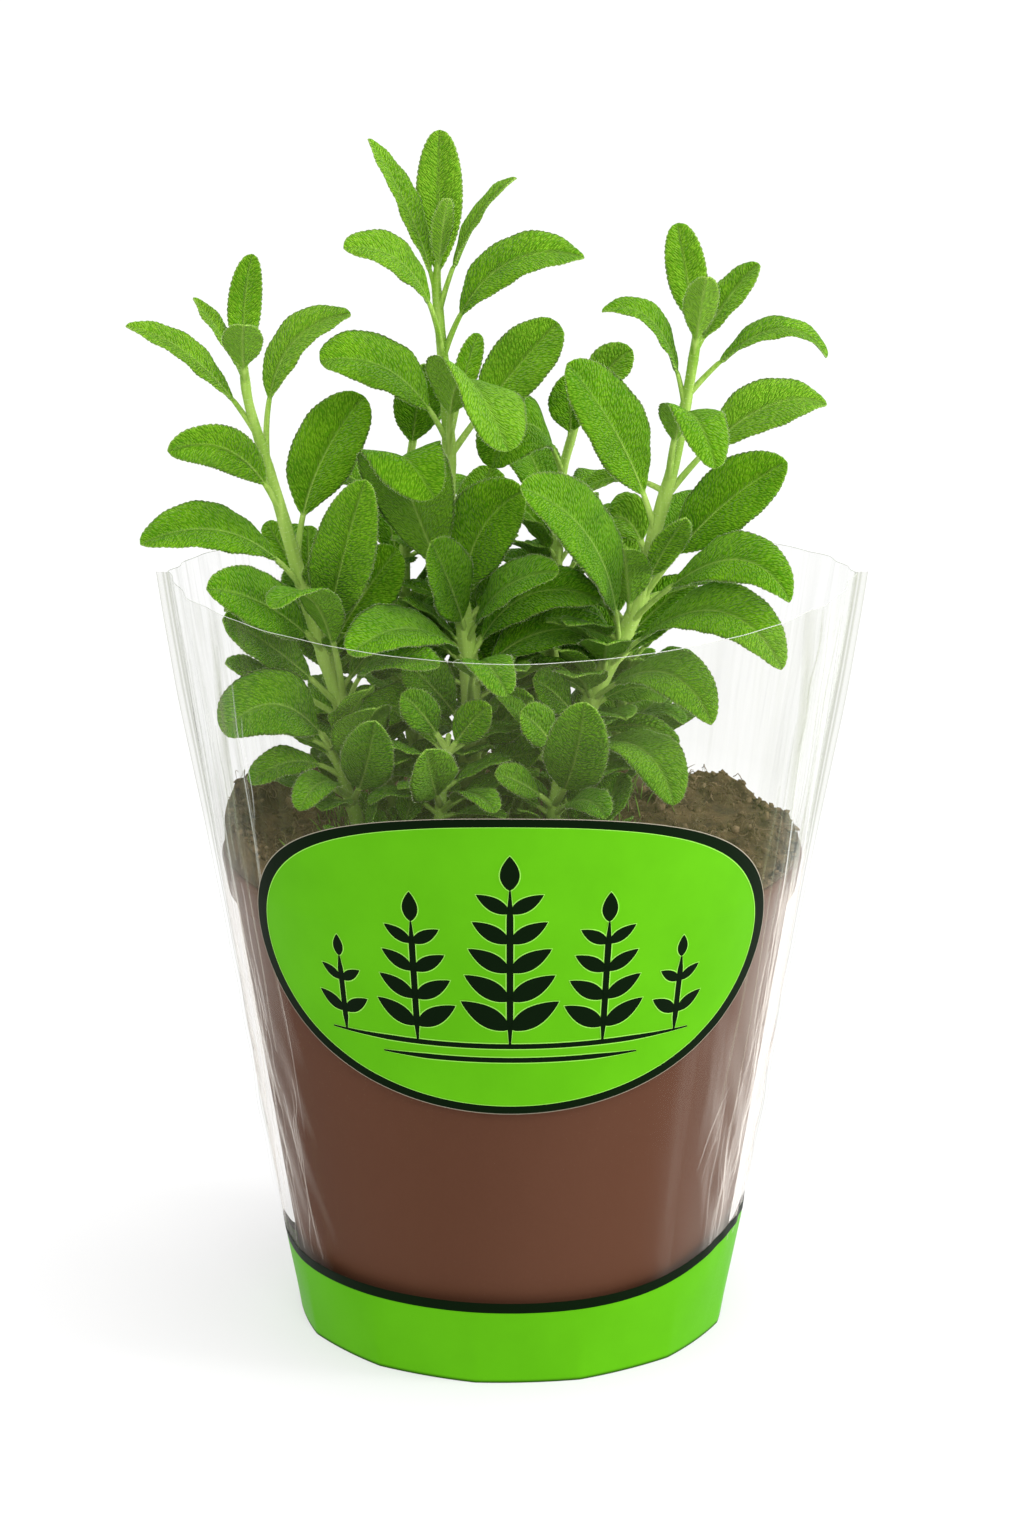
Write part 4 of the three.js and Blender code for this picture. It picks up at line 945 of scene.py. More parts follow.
def pot_profile():
    """From the middle of the underside, out and up the wall, over the rim and down inside."""
    rim_foot = POT_HEIGHT - POT_RIM_DEPTH
    inner = pot_outer(POT_HEIGHT) - POT_WALL
    lip = (POT_RIM_RADIUS - inner) / 2
    wall = np.linspace(POT_FOOT - 1, rim_foot - 1, 24)
    inside = np.linspace(rim_foot, POT_FLOOR + POT_FLOOR_ROUND, 12)
    profile = [(AXIS, 0), (POT_BASE_RADIUS - POT_FOOT, 0)]
    profile += arc((POT_BASE_RADIUS - POT_FOOT_ROUND, POT_FOOT_ROUND), POT_FOOT_ROUND, -90, 0, 6)
    profile += [(pot_outer(z) + POT_WALL_WAVE * math.sin(z / POT_WALL_WAVE_PITCH), z) for z in wall]
    profile += arc((pot_outer(rim_foot) + POT_RIM_HOLLOW, rim_foot + POT_RIM_ROUND), POT_RIM_ROUND, -60, 0, 4)
    profile += arc((inner + lip, POT_HEIGHT - lip), lip, 0, 180, 12)
    profile += [(pot_outer(z) - POT_WALL, z) for z in inside]
    profile += [(pot_outer(0) - POT_WALL - POT_FLOOR_ROUND, POT_FLOOR), (AXIS, POT_FLOOR)]
    return profile


def drain_cutter():
    """Plain rods where the drainage holes go through the floor."""
    cutter = Shape()
    rod = lathe_rings([(DRAIN_RADIUS, -1), (DRAIN_RADIUS, POT_FLOOR + 1)], DRAIN_SIDES)
    for turn in (np.arange(DRAIN_HOLES) + 0.5) * 2 * math.pi / DRAIN_HOLES:
        cutter.add_tube(rod + (DRAIN_CIRCLE * math.cos(turn), DRAIN_CIRCLE * math.sin(turn), 0))
    return cutter.make_object("drain_cutter")


def make_pot():
    rings = lathe_rings(pot_profile(), POT_SIDES)
    height = rings[..., 2]
    shape = Shape("worn")
    worn = smoothstep(POT_HEIGHT - RIM_WEAR, POT_HEIGHT, height) + smoothstep(FOOT_WEAR, 0, height)
    shape.add_tube(rings, worn=worn)
    pot = shape.piece("pot_fine", pot_material(), "pot_plastic", "pot")
    cutter = drain_cutter()
    cut = pot.modifiers.new("drain", "BOOLEAN")
    cut.object, cut.operation, cut.solver = cutter, "DIFFERENCE", "EXACT"
    depsgraph = bpy.context.evaluated_depsgraph_get()
    pot.data = bpy.data.meshes.new_from_object(pot.evaluated_get(depsgraph))
    pot.modifiers.clear()
    bpy.data.objects.remove(cutter)


# Soil

def soil_height(x, y):
    """The heap's surface: lumps, a rise towards the left edge, and a rough grain."""
    hills = math.sin(x / SOIL_LUMP_PITCH + 1) * math.cos(y / SOIL_LUMP_PITCH)
    ridges = math.sin((x - y) / SOIL_LUMP_PITCH) / 2
    heap = SOIL_HEAP * (min(0, x) / POT_RIM_RADIUS) ** 2
    outer = smoothstep(EDGE_SHARE, 1.0, math.hypot(x, y) / POT_RIM_RADIUS)
    heap += EDGE_RISE * outer * smoothstep(0, -1, x / EDGE_RUN)
    rough = SOIL_ROUGH * noise.fractal(Vector((x, y, 0)) / SOIL_ROUGH_PITCH, *SOIL_FRACTAL)
    return SOIL_TOP + SOIL_LUMP * (hills + ridges) + heap + rough


def soil_edge():
    return pot_outer(SOIL_SHOULDER) - POT_WALL - GAP


def soil_ground(shape):
    """The soil as one body, from the pot's floor up its wall and over the heap."""
    bottom = POT_FLOOR + GAP
    foot = pot_outer(bottom) - POT_WALL - GAP
    lip = POT_HEIGHT + GAP
    edge = soil_edge()
    profile = [(AXIS, bottom), (foot, bottom), (edge, SOIL_SHOULDER), (edge, lip), (EDGE_REACH, lip)]
    rings = list(lathe_rings(profile, SOIL_SECTORS))
    for i in range(SOIL_RINGS):
        radius = EDGE_REACH * math.sin((1 - i / SOIL_RINGS) * math.pi / 2)
        ring = lathe_rings([(radius, 0)], SOIL_SECTORS)[0]
        ring[:, 2] = [max(lip, soil_height(x, y)) for x, y in ring[:, :2]]
        rings.append(ring)
    shape.add_tube(np.array(rings))


def lump():
    """The corners and faces of a crumb of about unit radius: an icosahedron."""
    golden = (1 + 5 ** 0.5) / 2
    corners = []
    for a in (-1, 1):
        for b in (-golden, golden):
            corners += [(0, a, b), (a, b, 0), (b, 0, a)]
    corners = unit(np.array(corners, float))
    beside = corners @ corners.T > 0.4
    faces = []
    for i, j, k in itertools.product(range(len(corners)), repeat=3):
        outward = np.dot(np.cross(corners[j] - corners[i], corners[k] - corners[i]), corners[i]) > 0
        if i < j and i < k and j != k and beside[i, j] and beside[j, k] and beside[i, k] and outward:
            faces.append((i, j, k))
    return corners, faces


def spin(rng):
    """A random rotation matrix."""
    axis = unit(np.array([rng.gauss(0, 1) for _ in range(3)]))
    angle = rng.uniform(0, 2 * math.pi)
    cross = np.array([[0, -axis[2], axis[1]], [axis[2], 0, -axis[0]], [-axis[1], axis[0], 0]])
    return np.eye(3) + math.sin(angle) * cross + (1 - math.cos(angle)) * cross @ cross


def soil_spot(rng, inner, outer):
    """A random place on the soil between two distances from the middle."""
    turn = rng.uniform(0, 2 * math.pi)
    radius = math.sqrt(rng.uniform(inner ** 2, outer ** 2))
    return radius * math.cos(turn), radius * math.sin(turn)


def crumb_tone(rng):
    """Most crumbs are dark, and a few pale."""
    if rng.random() < DARK_CRUMBS:
        return DARK_CRUMB_TONE * rng.random() ** 2
    return rng.uniform(*PALE_CRUMB_TONE)


def soil_crumbs(shape, rng, count, inner, outer, largest):
    corners, faces = lump()
    for _ in range(count):
        size = CRUMB_SMALLEST + largest * rng.random() ** 3
        x, y = soil_spot(rng, inner, outer)
        knocks = np.array([rng.uniform(*CRUMB_KNOCKS) for _ in corners])[:, None]
        flat = np.diag([rng.uniform(*span) for span in CRUMB_AXES])
        points = corners * knocks @ flat @ spin(rng) * size
        middle = np.array([x, y, soil_height(x, y) + size * rng.uniform(*CRUMB_LIFT)])
        shape.add(points + middle, faces, tone=crumb_tone(rng))


def soil_fibres(shape, rng, count, inner, outer, rise):
    """Fibres that arch over the soil, some of them standing up from it at one end."""
    for _ in range(count):
        x, y = soil_spot(rng, inner, outer)
        heading, bend = rng.uniform(0, 2 * math.pi), rng.uniform(*FIBRE_BEND)
        step = rng.uniform(*FIBRE_LENGTH) / (FIBRE_POINTS - 1)
        lift, climb = rng.uniform(*FIBRE_ARCH), rise * rng.random() ** 2
        points = []
        for share in np.linspace(0, 1, FIBRE_POINTS):
            over = FIBRE_LIFT + lift * math.sin(math.pi * share) + climb * share
            points.append((x, y, soil_height(x, y) + over))
            x += step * math.cos(heading)
            y += step * math.sin(heading)
            heading += bend
        if math.hypot(x, y) < EDGE_REACH:
            shape.add_tube(strand(points, rng.uniform(*FIBRE_RADIUS)), tone=rng.uniform(*FIBRE_TONE))


def make_soil():
    rng = random.Random(SOIL_SEED)
    shape = Shape("tone")
    edge = soil_edge()
    soil_ground(shape)
    soil_crumbs(shape, rng, CRUMBS, 0, edge - 2, CRUMB_RANGE)
    soil_crumbs(shape, rng, EDGE_CRUMBS, edge - 3, EDGE_REACH, EDGE_CRUMB_RANGE)
    soil_fibres(shape, rng, FIBRES, 0, edge - 3, FIBRE_RISE)
    soil_fibres(shape, rng, EDGE_FIBRES, edge - 6, EDGE_REACH, EDGE_FIBRE_RISE)
    shape.piece("soil_fine", soil_material(), "compost", "soil")


# Film sleeve

def sleeve_reach(height, grow):
    """Half width, front and back reach, and roundness of the sleeve at heights."""
    hug = pot_outer(np.minimum(height, POT_HEIGHT)) + POT_RIM_STEP + SLEEVE_SLACK
    share = np.maximum(0, height - POT_HEIGHT) / (SLEEVE_HEIGHT - POT_HEIGHT)
    ease = share * share * (3 - 2 * share)
    half = hug + (SLEEVE_MOUTH_HALF - hug) * share + grow
    front = hug + (SLEEVE_MOUTH_FRONT - hug) * share + grow
    back = hug + (SLEEVE_MOUTH_BACK - hug) * ease + grow
    return half, front, back, 2 + (SLEEVE_CORNER_POWER - 2) * share


def waves(turn, height, parts):
    """The product of waves that run round the film and slope up it."""
    return math.prod(np.sin(number * turn + start + slope * height) for number, slope, start in parts)


def film_ripple(turn, height):
    """How far the film stands in or out: long folds near the seams, crinkles low on the sides."""
    side = np.abs(np.sin(turn)) ** 3
    loose = smoothstep(POT_HEIGHT, SLEEVE_HEIGHT, height)
    low = smoothstep(*CRINKLE_TOP, height) * smoothstep(*CRINKLE_FOOT, height)
    share = FOLD_IN_FRONT + (1 - FOLD_IN_FRONT) * side
    folds = share * loose * FOLD_DEPTH * waves(turn, height, FOLD_WAVES)
    return folds + side * low * CRINKLE_DEPTH * waves(turn, height, CRINKLE_WAVES)


def foot_facets(turn, height):
    """The folded foot of the film is slightly polygonal."""
    share = smoothstep(FOOT_FACET_TOP, 0, height)
    within = (turn * FOOT_FACETS / (2 * math.pi) + FOOT_FACET_TURN) % 1 - 0.5
    return -FOOT_FACET_SAG * share * (1 - (2 * within) ** 2)


def film_points(degrees, height, lift=0.0):
    """Places on the film's outer face, by degrees from the middle of the front and height."""
    turn = np.radians(np.asarray(degrees, float))
    height = np.asarray(height, float)
    grow = FILM + lift + film_ripple(turn, height) + foot_facets(turn, height)
    half, front, back, power = sleeve_reach(height, grow)
    x = half * np.sin(turn)
    depth = (1 - np.abs(np.sin(turn)) ** power) ** (1 / power)
    y = np.where(np.cos(turn) > 0, -front, back) * depth
    return np.stack(np.broadcast_arrays(x, y, height), axis=-1)


def film_milk(degrees, height):
    """How milky the film is where it is crumpled against the pot; on the right, where it is most, partly
    painted light.
    """
    side = np.abs(degrees)
    right = LIT_MILK_RIGHT * smoothstep(*LIT_MILK_RIGHT_ANGLES, degrees) * smoothstep(*MILK_TOP, height)
    left = MILK_LEFT * smoothstep(*MILK_LEFT_ANGLES, degrees) * smoothstep(*MILK_TOP, height)
    above = MILK_ABOVE * smoothstep(*MILK_ABOVE_ANGLES, side) * smoothstep(*MILK_ABOVE_FOOT, height)
    return (right + left + above) * smoothstep(*MILK_BEHIND, side)


def there_and_back(values, back):
    """Values along one face of a fin, and others on the way back along its other face."""
    return np.concatenate([values, back[::-1]])


def seam_strip(side):
    """The flat welded fin down one side, and how strongly its two lines of weld show."""
    heights = np.linspace(0, SLEEVE_HEIGHT, FILM_ROWS)
    shares, beads, shows = np.array(SEAM_PROFILE).T
    thick = there_and_back(beads + SEAM_HALF_THICK, -(beads + SEAM_HALF_THICK))
    narrow = SEAM_LOW_REACH + (1 - SEAM_LOW_REACH) * smoothstep(*SEAM_WIDENS, heights)
    narrow = (narrow * smoothstep(*SEAM_STARTS, heights))[:, None]
    reach = there_and_back(shares, shares) * SEAM_REACH * narrow
    sway = sum(size * np.sin(heights / pitch) for size, pitch in SEAM_WAVES)
    sway = (sway * smoothstep(*SEAM_SWAYS, heights))[:, None]
    points = np.repeat(film_points(90 * side, heights)[:, None], len(thick), axis=1)
    points[..., 0] += side * reach
    points[..., 1] += thick * side + sway * reach / SEAM_REACH * SEAM_SWAY
    dark = there_and_back(shows, shows) * smoothstep(*SEAM_DARKENS, heights)[:, None]
    return points, dark * SEAM_DARK


def crease(shape, rng, side, start, end, width, dark, bright):
    """A thin fold in the film between two places in degrees and height, fading at both ends, with its painted
    shade and highlight.
    """
    shares = np.linspace(0, 1, CREASE_POINTS)
    number, turn = rng.uniform(*CREASE_WAVES), rng.uniform(0, CREASE_TURN)
    first, last = side * start[0], side * end[0]
    degrees = first + (last - first) * shares + CREASE_SWAY * np.sin(number * math.pi * shares + turn)
    heights = start[1] + (end[1] - start[1]) * shares
    across = np.array([-0.5, 0, 0.5]) * math.degrees(width / POT_RIM_RADIUS)
    ridge = (np.sin(math.pi * shares) ** CREASE_FADE)[:, None] * np.array([0, 1, 0])
    points = film_points(degrees[:, None] + across, heights[:, None], INK_LIFT)
    shape.add_sheet(points, dark=dark * ridge, bright=bright * ridge)


def crease_width(rng, place, widths, widest):
    """A random width, larger where the film turns away, so that it looks alike from the front."""
    return min(widest, rng.uniform(*widths) / math.cos(math.radians(place)))


def long_crease(shape, rng, side):
    """A fold that runs down from above the pot, most often close to the seam: grey with painted shade, or
    white with a painted highlight.
    """
    place = CREASE_NEAREST_SEAM - LONG_CREASE_PLACES * rng.random() ** LONG_CREASE_CROWDING
    top = rng.uniform(LONG_CREASE_TOP, SLEEVE_HEIGHT)
    bottom = max(CREASES_LOW, top - rng.uniform(*LONG_CREASE_LENGTH))
    width = crease_width(rng, place, LONG_CREASE_WIDTH, LONG_CREASE_WIDEST)
    if rng.random() < SHADED_CREASES:
        dark, bright = rng.uniform(*CREASE_SHADE), 0
    else:
        dark, bright = 0, rng.uniform(*CREASE_HIGHLIGHT)
    end = place + rng.uniform(*LONG_CREASE_LEAN), bottom
    crease(shape, rng, side, (place, top), end, width, dark, bright)


def short_crease(shape, rng, side):
    """A short fold beside the pot, clear of the printed panel, white with a painted highlight."""
    top = rng.uniform(*SHORT_CREASE_TOP)
    bottom = max(CREASES_LOW, top - rng.uniform(*SHORT_CREASE_LENGTH))
    place = rng.uniform(BELOW_PANEL_PLACE if top < PANEL_FOOT else BESIDE_PANEL_PLACE, CREASE_NEAREST_SEAM)
    lean = rng.uniform(*(BELOW_PANEL_LEAN if bottom < PANEL_FOOT else BESIDE_PANEL_LEAN))
    width = crease_width(rng, place, SHORT_CREASE_WIDTH, SHORT_CREASE_WIDEST)
    bright = rng.uniform(*SHORT_CREASE_HIGHLIGHT)
    crease(shape, rng, side, (place, top), (place + lean, bottom), width, 0, bright)


def film_creases(shape):
    """Long folds above the pot in painted shade and highlight, and a tangle of short ones beside it in
    painted highlight.
    """
    rng = random.Random(CREASE_SEED)
    for side in (-1, 1):
        for _ in range(LONG_CREASES):
            long_crease(shape, rng, side)
        crease(shape, rng, side, BROAD_FOLD_TOP, BROAD_FOLD_FOOT, BROAD_FOLD, BROAD_FOLD_SHADE, 0)
        for _ in range(SHORT_CREASES):
            short_crease(shape, rng, side)


def make_sleeve():
    degrees = np.linspace(-180, 180, FILM_SECTORS + 1)
    heights = np.linspace(0, SLEEVE_HEIGHT, FILM_ROWS)[:, None]
    points = film_points(degrees, heights)
    side = np.sin(np.radians(degrees)) ** 2 * np.where(degrees < 0, LEFT_SHADE, 1)
    around = np.radians(degrees) * POT_RIM_RADIUS * MM
    shape = Shape("side", "dark", "bright", "milk", "around")
    shape.add_sheet(points, side=side, around=around, milk=film_milk(degrees, heights))
    shape.add_tube(strand(points[-1], MOUTH_BEAD, MOUTH_BEAD_SIDES), **MOUTH_BEAD_MARKS)
    for seam in (-1, 1):
        fin, dark = seam_strip(seam)
        shape.add_tube(fin, dark=dark)
    film_creases(shape)
    shape.piece("sleeve_film", film_material(), "clear_film", "sleeve")


# Printing

def oval_ring(shape, outer, inner, lift, rows):
    """A ring of ink between two shares of the oval panel's reach."""
    turns = np.radians(np.linspace(0, 360, OVAL_SECTORS + 1))
    shares = np.linspace(outer, inner, rows)[:, None]
    degrees = PANEL_MIDDLE[0] + PANEL_HALF_ANGLE * shares * np.cos(turns)
    height = PANEL_MIDDLE[1] + PANEL_HALF_HEIGHT * shares * np.sin(turns)
    shape.add_sheet(film_points(degrees, height, lift))


def band_height(degrees):
    """The band's upper edge: it climbs to both sides, most at the right, and lies lower behind."""
    right = BAND_CLIMB * np.exp(-(np.minimum(0, degrees - BAND_CLIMB_AT) / BAND_CLIMB_SPREAD) ** 2)
    left = BAND_LEFT_CLIMB * np.exp(-(np.minimum(0, -degrees - BAND_LEFT_AT) / BAND_LEFT_SPREAD) ** 2)
    behind = smoothstep(*BAND_BEHIND, np.abs(degrees))
    return BAND_TOP + (right + left) * (1 - behind) - BAND_DROP * behind


def band_strip(shape, degrees, low, high, lift, rows):
    """A strip of ink all round, between two heights that may vary with the angle."""
    shares = np.linspace(0, 1, rows)[:, None]
    shape.add_sheet(film_points(degrees, low + (high - low) * shares, lift))


def panel_spot(along, up):
    """Degrees and height of a spot on the panel, from millimetres right of and above its middle."""
    degrees = PANEL_MIDDLE[0] + np.degrees(along / pot_outer(PANEL_MIDDLE[1]))
    return degrees, PANEL_MIDDLE[1] + up


def printed_leaf(shape, along, up, heading, length, wide, lift, grow):
    """A pointed oval of ink that starts at a spot and points along a heading, grown on all sides."""
    turn = math.radians(heading)
    shares = np.linspace(0, 1, PRINTED_LEAF_ROWS)
    half = (wide + 2 * grow) / 2 * np.sin(math.pi * shares ** PRINTED_LEAF_POWER) ** PRINTED_LEAF_POWER
    run = (shares * (length + 2 * grow))[:, None]
    cross = half[:, None] * np.linspace(-1, 1, PRINTED_LEAF_COLUMNS)
    right = along - grow * math.cos(turn) + run * math.cos(turn) - cross * math.sin(turn)
    above = up - grow * math.sin(turn) + run * math.sin(turn) + cross * math.cos(turn)
    shape.add_sheet(film_points(*panel_spot(right, above), lift))


def printed_stroke(shape, along, up, width, lift):
    """A line of ink through spots, narrower at its ends."""
    slope = np.arctan2(np.gradient(up), np.gradient(along))[:, None]
    from_end = np.minimum(np.linspace(0, 1, len(along)), np.linspace(1, 0, len(along)))
    taper = np.minimum(1, STROKE_TIP + STROKE_TAPER * from_end)
    across = np.linspace(-0.5, 0.5, STROKE_COLUMNS)
    right = along[:, None] - np.sin(slope) * across * (width * taper)[:, None]
    above = up[:, None] + np.cos(slope) * across * (width * taper)[:, None]
    shape.add_sheet(film_points(*panel_spot(right, above), lift))


def sprig(shape, along, tall, reach, lift, grow):
    """An upright sprig on the ground line: a stalk, pairs of leaves and one at the top."""
    rise = np.linspace(0, tall, SPRIG_STALK_POINTS)
    stalk = SPRIG_STALK + 2 * grow
    printed_stroke(shape, along + SPRIG_STALK_LEAN * rise, SPRIG_FOOT + rise, stalk, lift)
    pairs = round(tall / SPRIG_PAIR_PITCH)
    for pair in range(pairs):
        share = (pair + SPRIG_FIRST_PAIR) / (pairs + SPRIG_PAIRS_END)
        length, up = reach * (1 - SPRIG_TAPER * share), SPRIG_FOOT + tall * share
        for side in (-1, 1):
            heading = 90 - side * SPRIG_SPREAD
            printed_leaf(shape, along, up, heading, length, SPRIG_LEAF_WIDTH * length, lift, grow)
    bud_length, bud_wide = (share * reach for share in SPRIG_BUD)
    printed_leaf(shape, along, SPRIG_FOOT + tall, 90, bud_length, bud_wide, lift, grow)


def sprig_row(shape, lift, grow):
    """Upright sprigs, lower to the sides, over a ground line and a short one under it."""
    for along, tall, reach in SPRIGS:
        sprig(shape, along, tall, reach, lift, grow)
    for half, drop in GROUND_LINES:
        along = np.linspace(-half, half, GROUND_LINE_POINTS)
        printed_stroke(shape, along, SPRIG_FOOT - drop + 0 * along, GROUND_LINE_WIDTH + 2 * grow, lift)


def edging(shape, inner):
    """Thin pale lines of ink inside the panel's outline and round the sprigs."""
    oval_ring(shape, inner, inner - HALO_WIDTH / PANEL_HALF_HEIGHT, 2 * INK_LIFT, HALO_ROWS)
    sprig_row(shape, 2 * INK_LIFT, SPRIG_EDGE)


def printed(name, ink, draw, *sizes):
    """A piece of ink on the film, drawn by a function with its sizes."""
    shape = Shape()
    draw(shape, *sizes)
    shape.piece(name, ink, "clear_film")


def make_printing():
    green = ink_material("ink_green", INK_GREEN, INK_GREEN_DEEP)
    dark = ink_material("ink_dark", INK_DARK, INK_DARK)
    pale = ink_material("ink_pale", INK_PALE, INK_PALE)
    edge = ink_material("ink_edge", INK_EDGE, INK_EDGE)
    halo = 1 + HALO_WIDTH / PANEL_HALF_HEIGHT
    inner = 1 - OUTLINE_WIDTH / PANEL_HALF_HEIGHT
    printed("print_panel_halo", edge, oval_ring, halo, 1 - INK_OVERLAP, INK_LIFT, HALO_ROWS)
    printed("print_panel", green, oval_ring, inner + INK_OVERLAP, PANEL_CENTRE, INK_LIFT, PANEL_ROWS)
    printed("print_panel_outline", dark, oval_ring, 1.0, inner, 2 * INK_LIFT, LINE_ROWS)
    printed("print_edging", pale, edging, inner)
    printed("print_sprigs", dark, sprig_row, 3 * INK_LIFT, 0)
    degrees = np.linspace(-180, 180, FILM_SECTORS + 1)
    top = band_height(degrees)
    printed("print_band", green, band_strip, degrees, BAND_FOOT, top + BAND_OVERLAP, INK_LIFT, BAND_ROWS)
    printed("print_band_line", dark, band_strip, degrees, top, top + BAND_LINE, 2 * INK_LIFT, LINE_ROWS)


# Stems

def catmull_rom(points, steps):
    """A centripetal spline through points, sampled finely."""
    points = [np.array(p, float) for p in points]
    points = [2 * points[0] - points[1], *points, 2 * points[-1] - points[-2]]
    samples = []
    for a, b, c, d in zip(points, points[1:], points[2:], points[3:]):
        ta = 0
        tb = ta + np.linalg.norm(b - a) ** 0.5
        tc = tb + np.linalg.norm(c - b) ** 0.5
        td = tc + np.linalg.norm(d - c) ** 0.5
        for t in np.linspace(tb, tc, steps, endpoint=False):
            ab = ((tb - t) * a + (t - ta) * b) / (tb - ta)
            bc = ((tc - t) * b + (t - tb) * c) / (tc - tb)
            cd = ((td - t) * c + (t - tc) * d) / (td - tc)
            abc = ((tc - t) * ab + (t - ta) * bc) / (tc - ta)
            bcd = ((td - t) * bc + (t - tb) * cd) / (td - tb)
            samples.append(((tc - t) * abc + (t - tb) * bcd) / (tc - tb))
    samples.append(points[-2])
    return np.array(samples)


def curve_run(samples):
    """Distances along a sampled curve to each of its points."""
    return np.concatenate([[0], np.cumsum(np.linalg.norm(np.diff(samples, axis=0), axis=1))])


def along_curve(samples, shares):
    """Points at shares of a sampled curve's length."""
    run = curve_run(samples)
    return np.column_stack([np.interp(shares * run[-1], run, samples[:, i]) for i in range(3)])


def stem_spot(axis, height):
    """The place on a stem's axis at a height."""
    return np.array([np.interp(height, axis[:, 2], axis[:, i]) for i in range(3)])


def hair_tufts(shape, roots, directions, rng, **marks):
    """Short pale hairs: slim three-sided spikes that lean out from where they grow."""
    for root, direction in zip(roots, directions):
        lean = unit(direction + np.array([rng.gauss(0, HAIR_SCATTER) for _ in range(3)]))
        across = unit(np.cross(lean, HAIR_ASIDE))
        along = np.cross(lean, across)
        foot = [root + HAIR_WIDTH / 2 * (math.cos(a) * across + math.sin(a) * along) for a in HAIR_CORNERS]
        tip = root + lean * HAIR_LENGTH * rng.uniform(*HAIR_LENGTHS)
        shape.add([*foot, tip], ((0, 1, 3), (1, 2, 3), (2, 0, 3), (2, 1, 0)), **marks)


def stem_radius(stem, heights, top):
    """The stem narrows towards its top, and swells a little where each leaf leaves it."""
    run = np.clip((heights - ROOT_TOP) / (top - ROOT_TOP), 0, 1)
    radius = stem["radius"] * (1 + (STEM_TIP_SHARE - 1) * run)
    for form in stem["leaves"]:
        near = np.exp(-((heights - form["at"] + 1) / STEM_NODE_REACH) ** 2)
        radius = radius * (1 + STEM_NODE_SWELL * near)
    return radius


def make_stem(shape, stem, axis, rng):
    """The stem is four-sided with rounded corners and shallow grooves, and hairy."""
    foot = [(*stem["path"][0][:2], z) for z in (STEM_FOOT, STEM_FOOT + STEM_SUNK)]
    samples = np.concatenate([np.array(foot, float), axis])
    length = curve_run(samples)[-1]
    steps = round(length / STEM_STEP)
    middle = along_curve(samples, np.linspace(0, 1, steps + 1))
    tangent = unit(np.gradient(middle, axis=0))
    across = unit(np.cross((0, 1.0, 0), tangent))
    turns = ring_angles(STEM_SIDES)
    outward = circles(across, np.cross(tangent, across), turns)
    square = 1 + STEM_SQUARE * np.cos(4 * turns) - STEM_GROOVE * np.cos(8 * turns)
    radius = stem_radius(stem, middle[:, 2], axis[-1, 2])
    rings = middle[:, None] + outward * (radius[:, None] * square)[..., None]
    tip = middle[-1:, None] + outward[-1:] * STEM_TIP + tangent[-1] * radius[-1] * STEM_TIP_HEIGHT
    rings = np.concatenate([rings, tip])
    shape.add_tube(rings, rib=1, margin=NO_MARGIN)
    count = int(length * STEM_HAIRS_PER_MM * stem["radius"] / STEM_USUAL_RADIUS)
    rows = [rng.randrange(steps) for _ in range(count)]
    columns = [rng.randrange(STEM_SIDES) for _ in range(count)]
    hair_tufts(shape, rings[rows, columns], outward[rows, columns], rng, rib=1, hair=1, margin=NO_MARGIN)


# Leaves

def leaf_midrib(base, form):
    tip = np.array(form["tip"], float)
    via = np.array(form["via"], float) if "via" in form else (base + tip) / 2 + (0, 0, USUAL_RISE)
    t = np.linspace(0, 1, MIDRIB_POINTS)[:, None]
    return (1 - t) ** 2 * base + 2 * t * (1 - t) * via + t ** 2 * tip


def leaf_up(base, form):
    """The way a leaf's upper face looks: up, and a little back towards its stem, if not given."""
    if "up" in form:
        return np.array(form["up"], float)
    chord = unit(np.array(form["tip"], float) - base)
    return np.array((-INWARD_LEAN * chord[0], -INWARD_LEAN * chord[1], 1))


def blade_half_width(share, wide, pointed=0.0):
    """Oblong, fullest past the middle, drawn in towards the stalk and round or pointed at the tip."""
    inside = np.clip(share, BLADE_END, 1 - BLADE_END)
    power = BLADE_POWER - BLADE_FULLNESS * smoothstep(0, 0.7, inside)
    power = power + POINTED_TIP * pointed * smoothstep(0.5, 1.0, inside)
    return wide / 2 * np.sin(math.pi * inside ** BLADE_SKEW) ** power


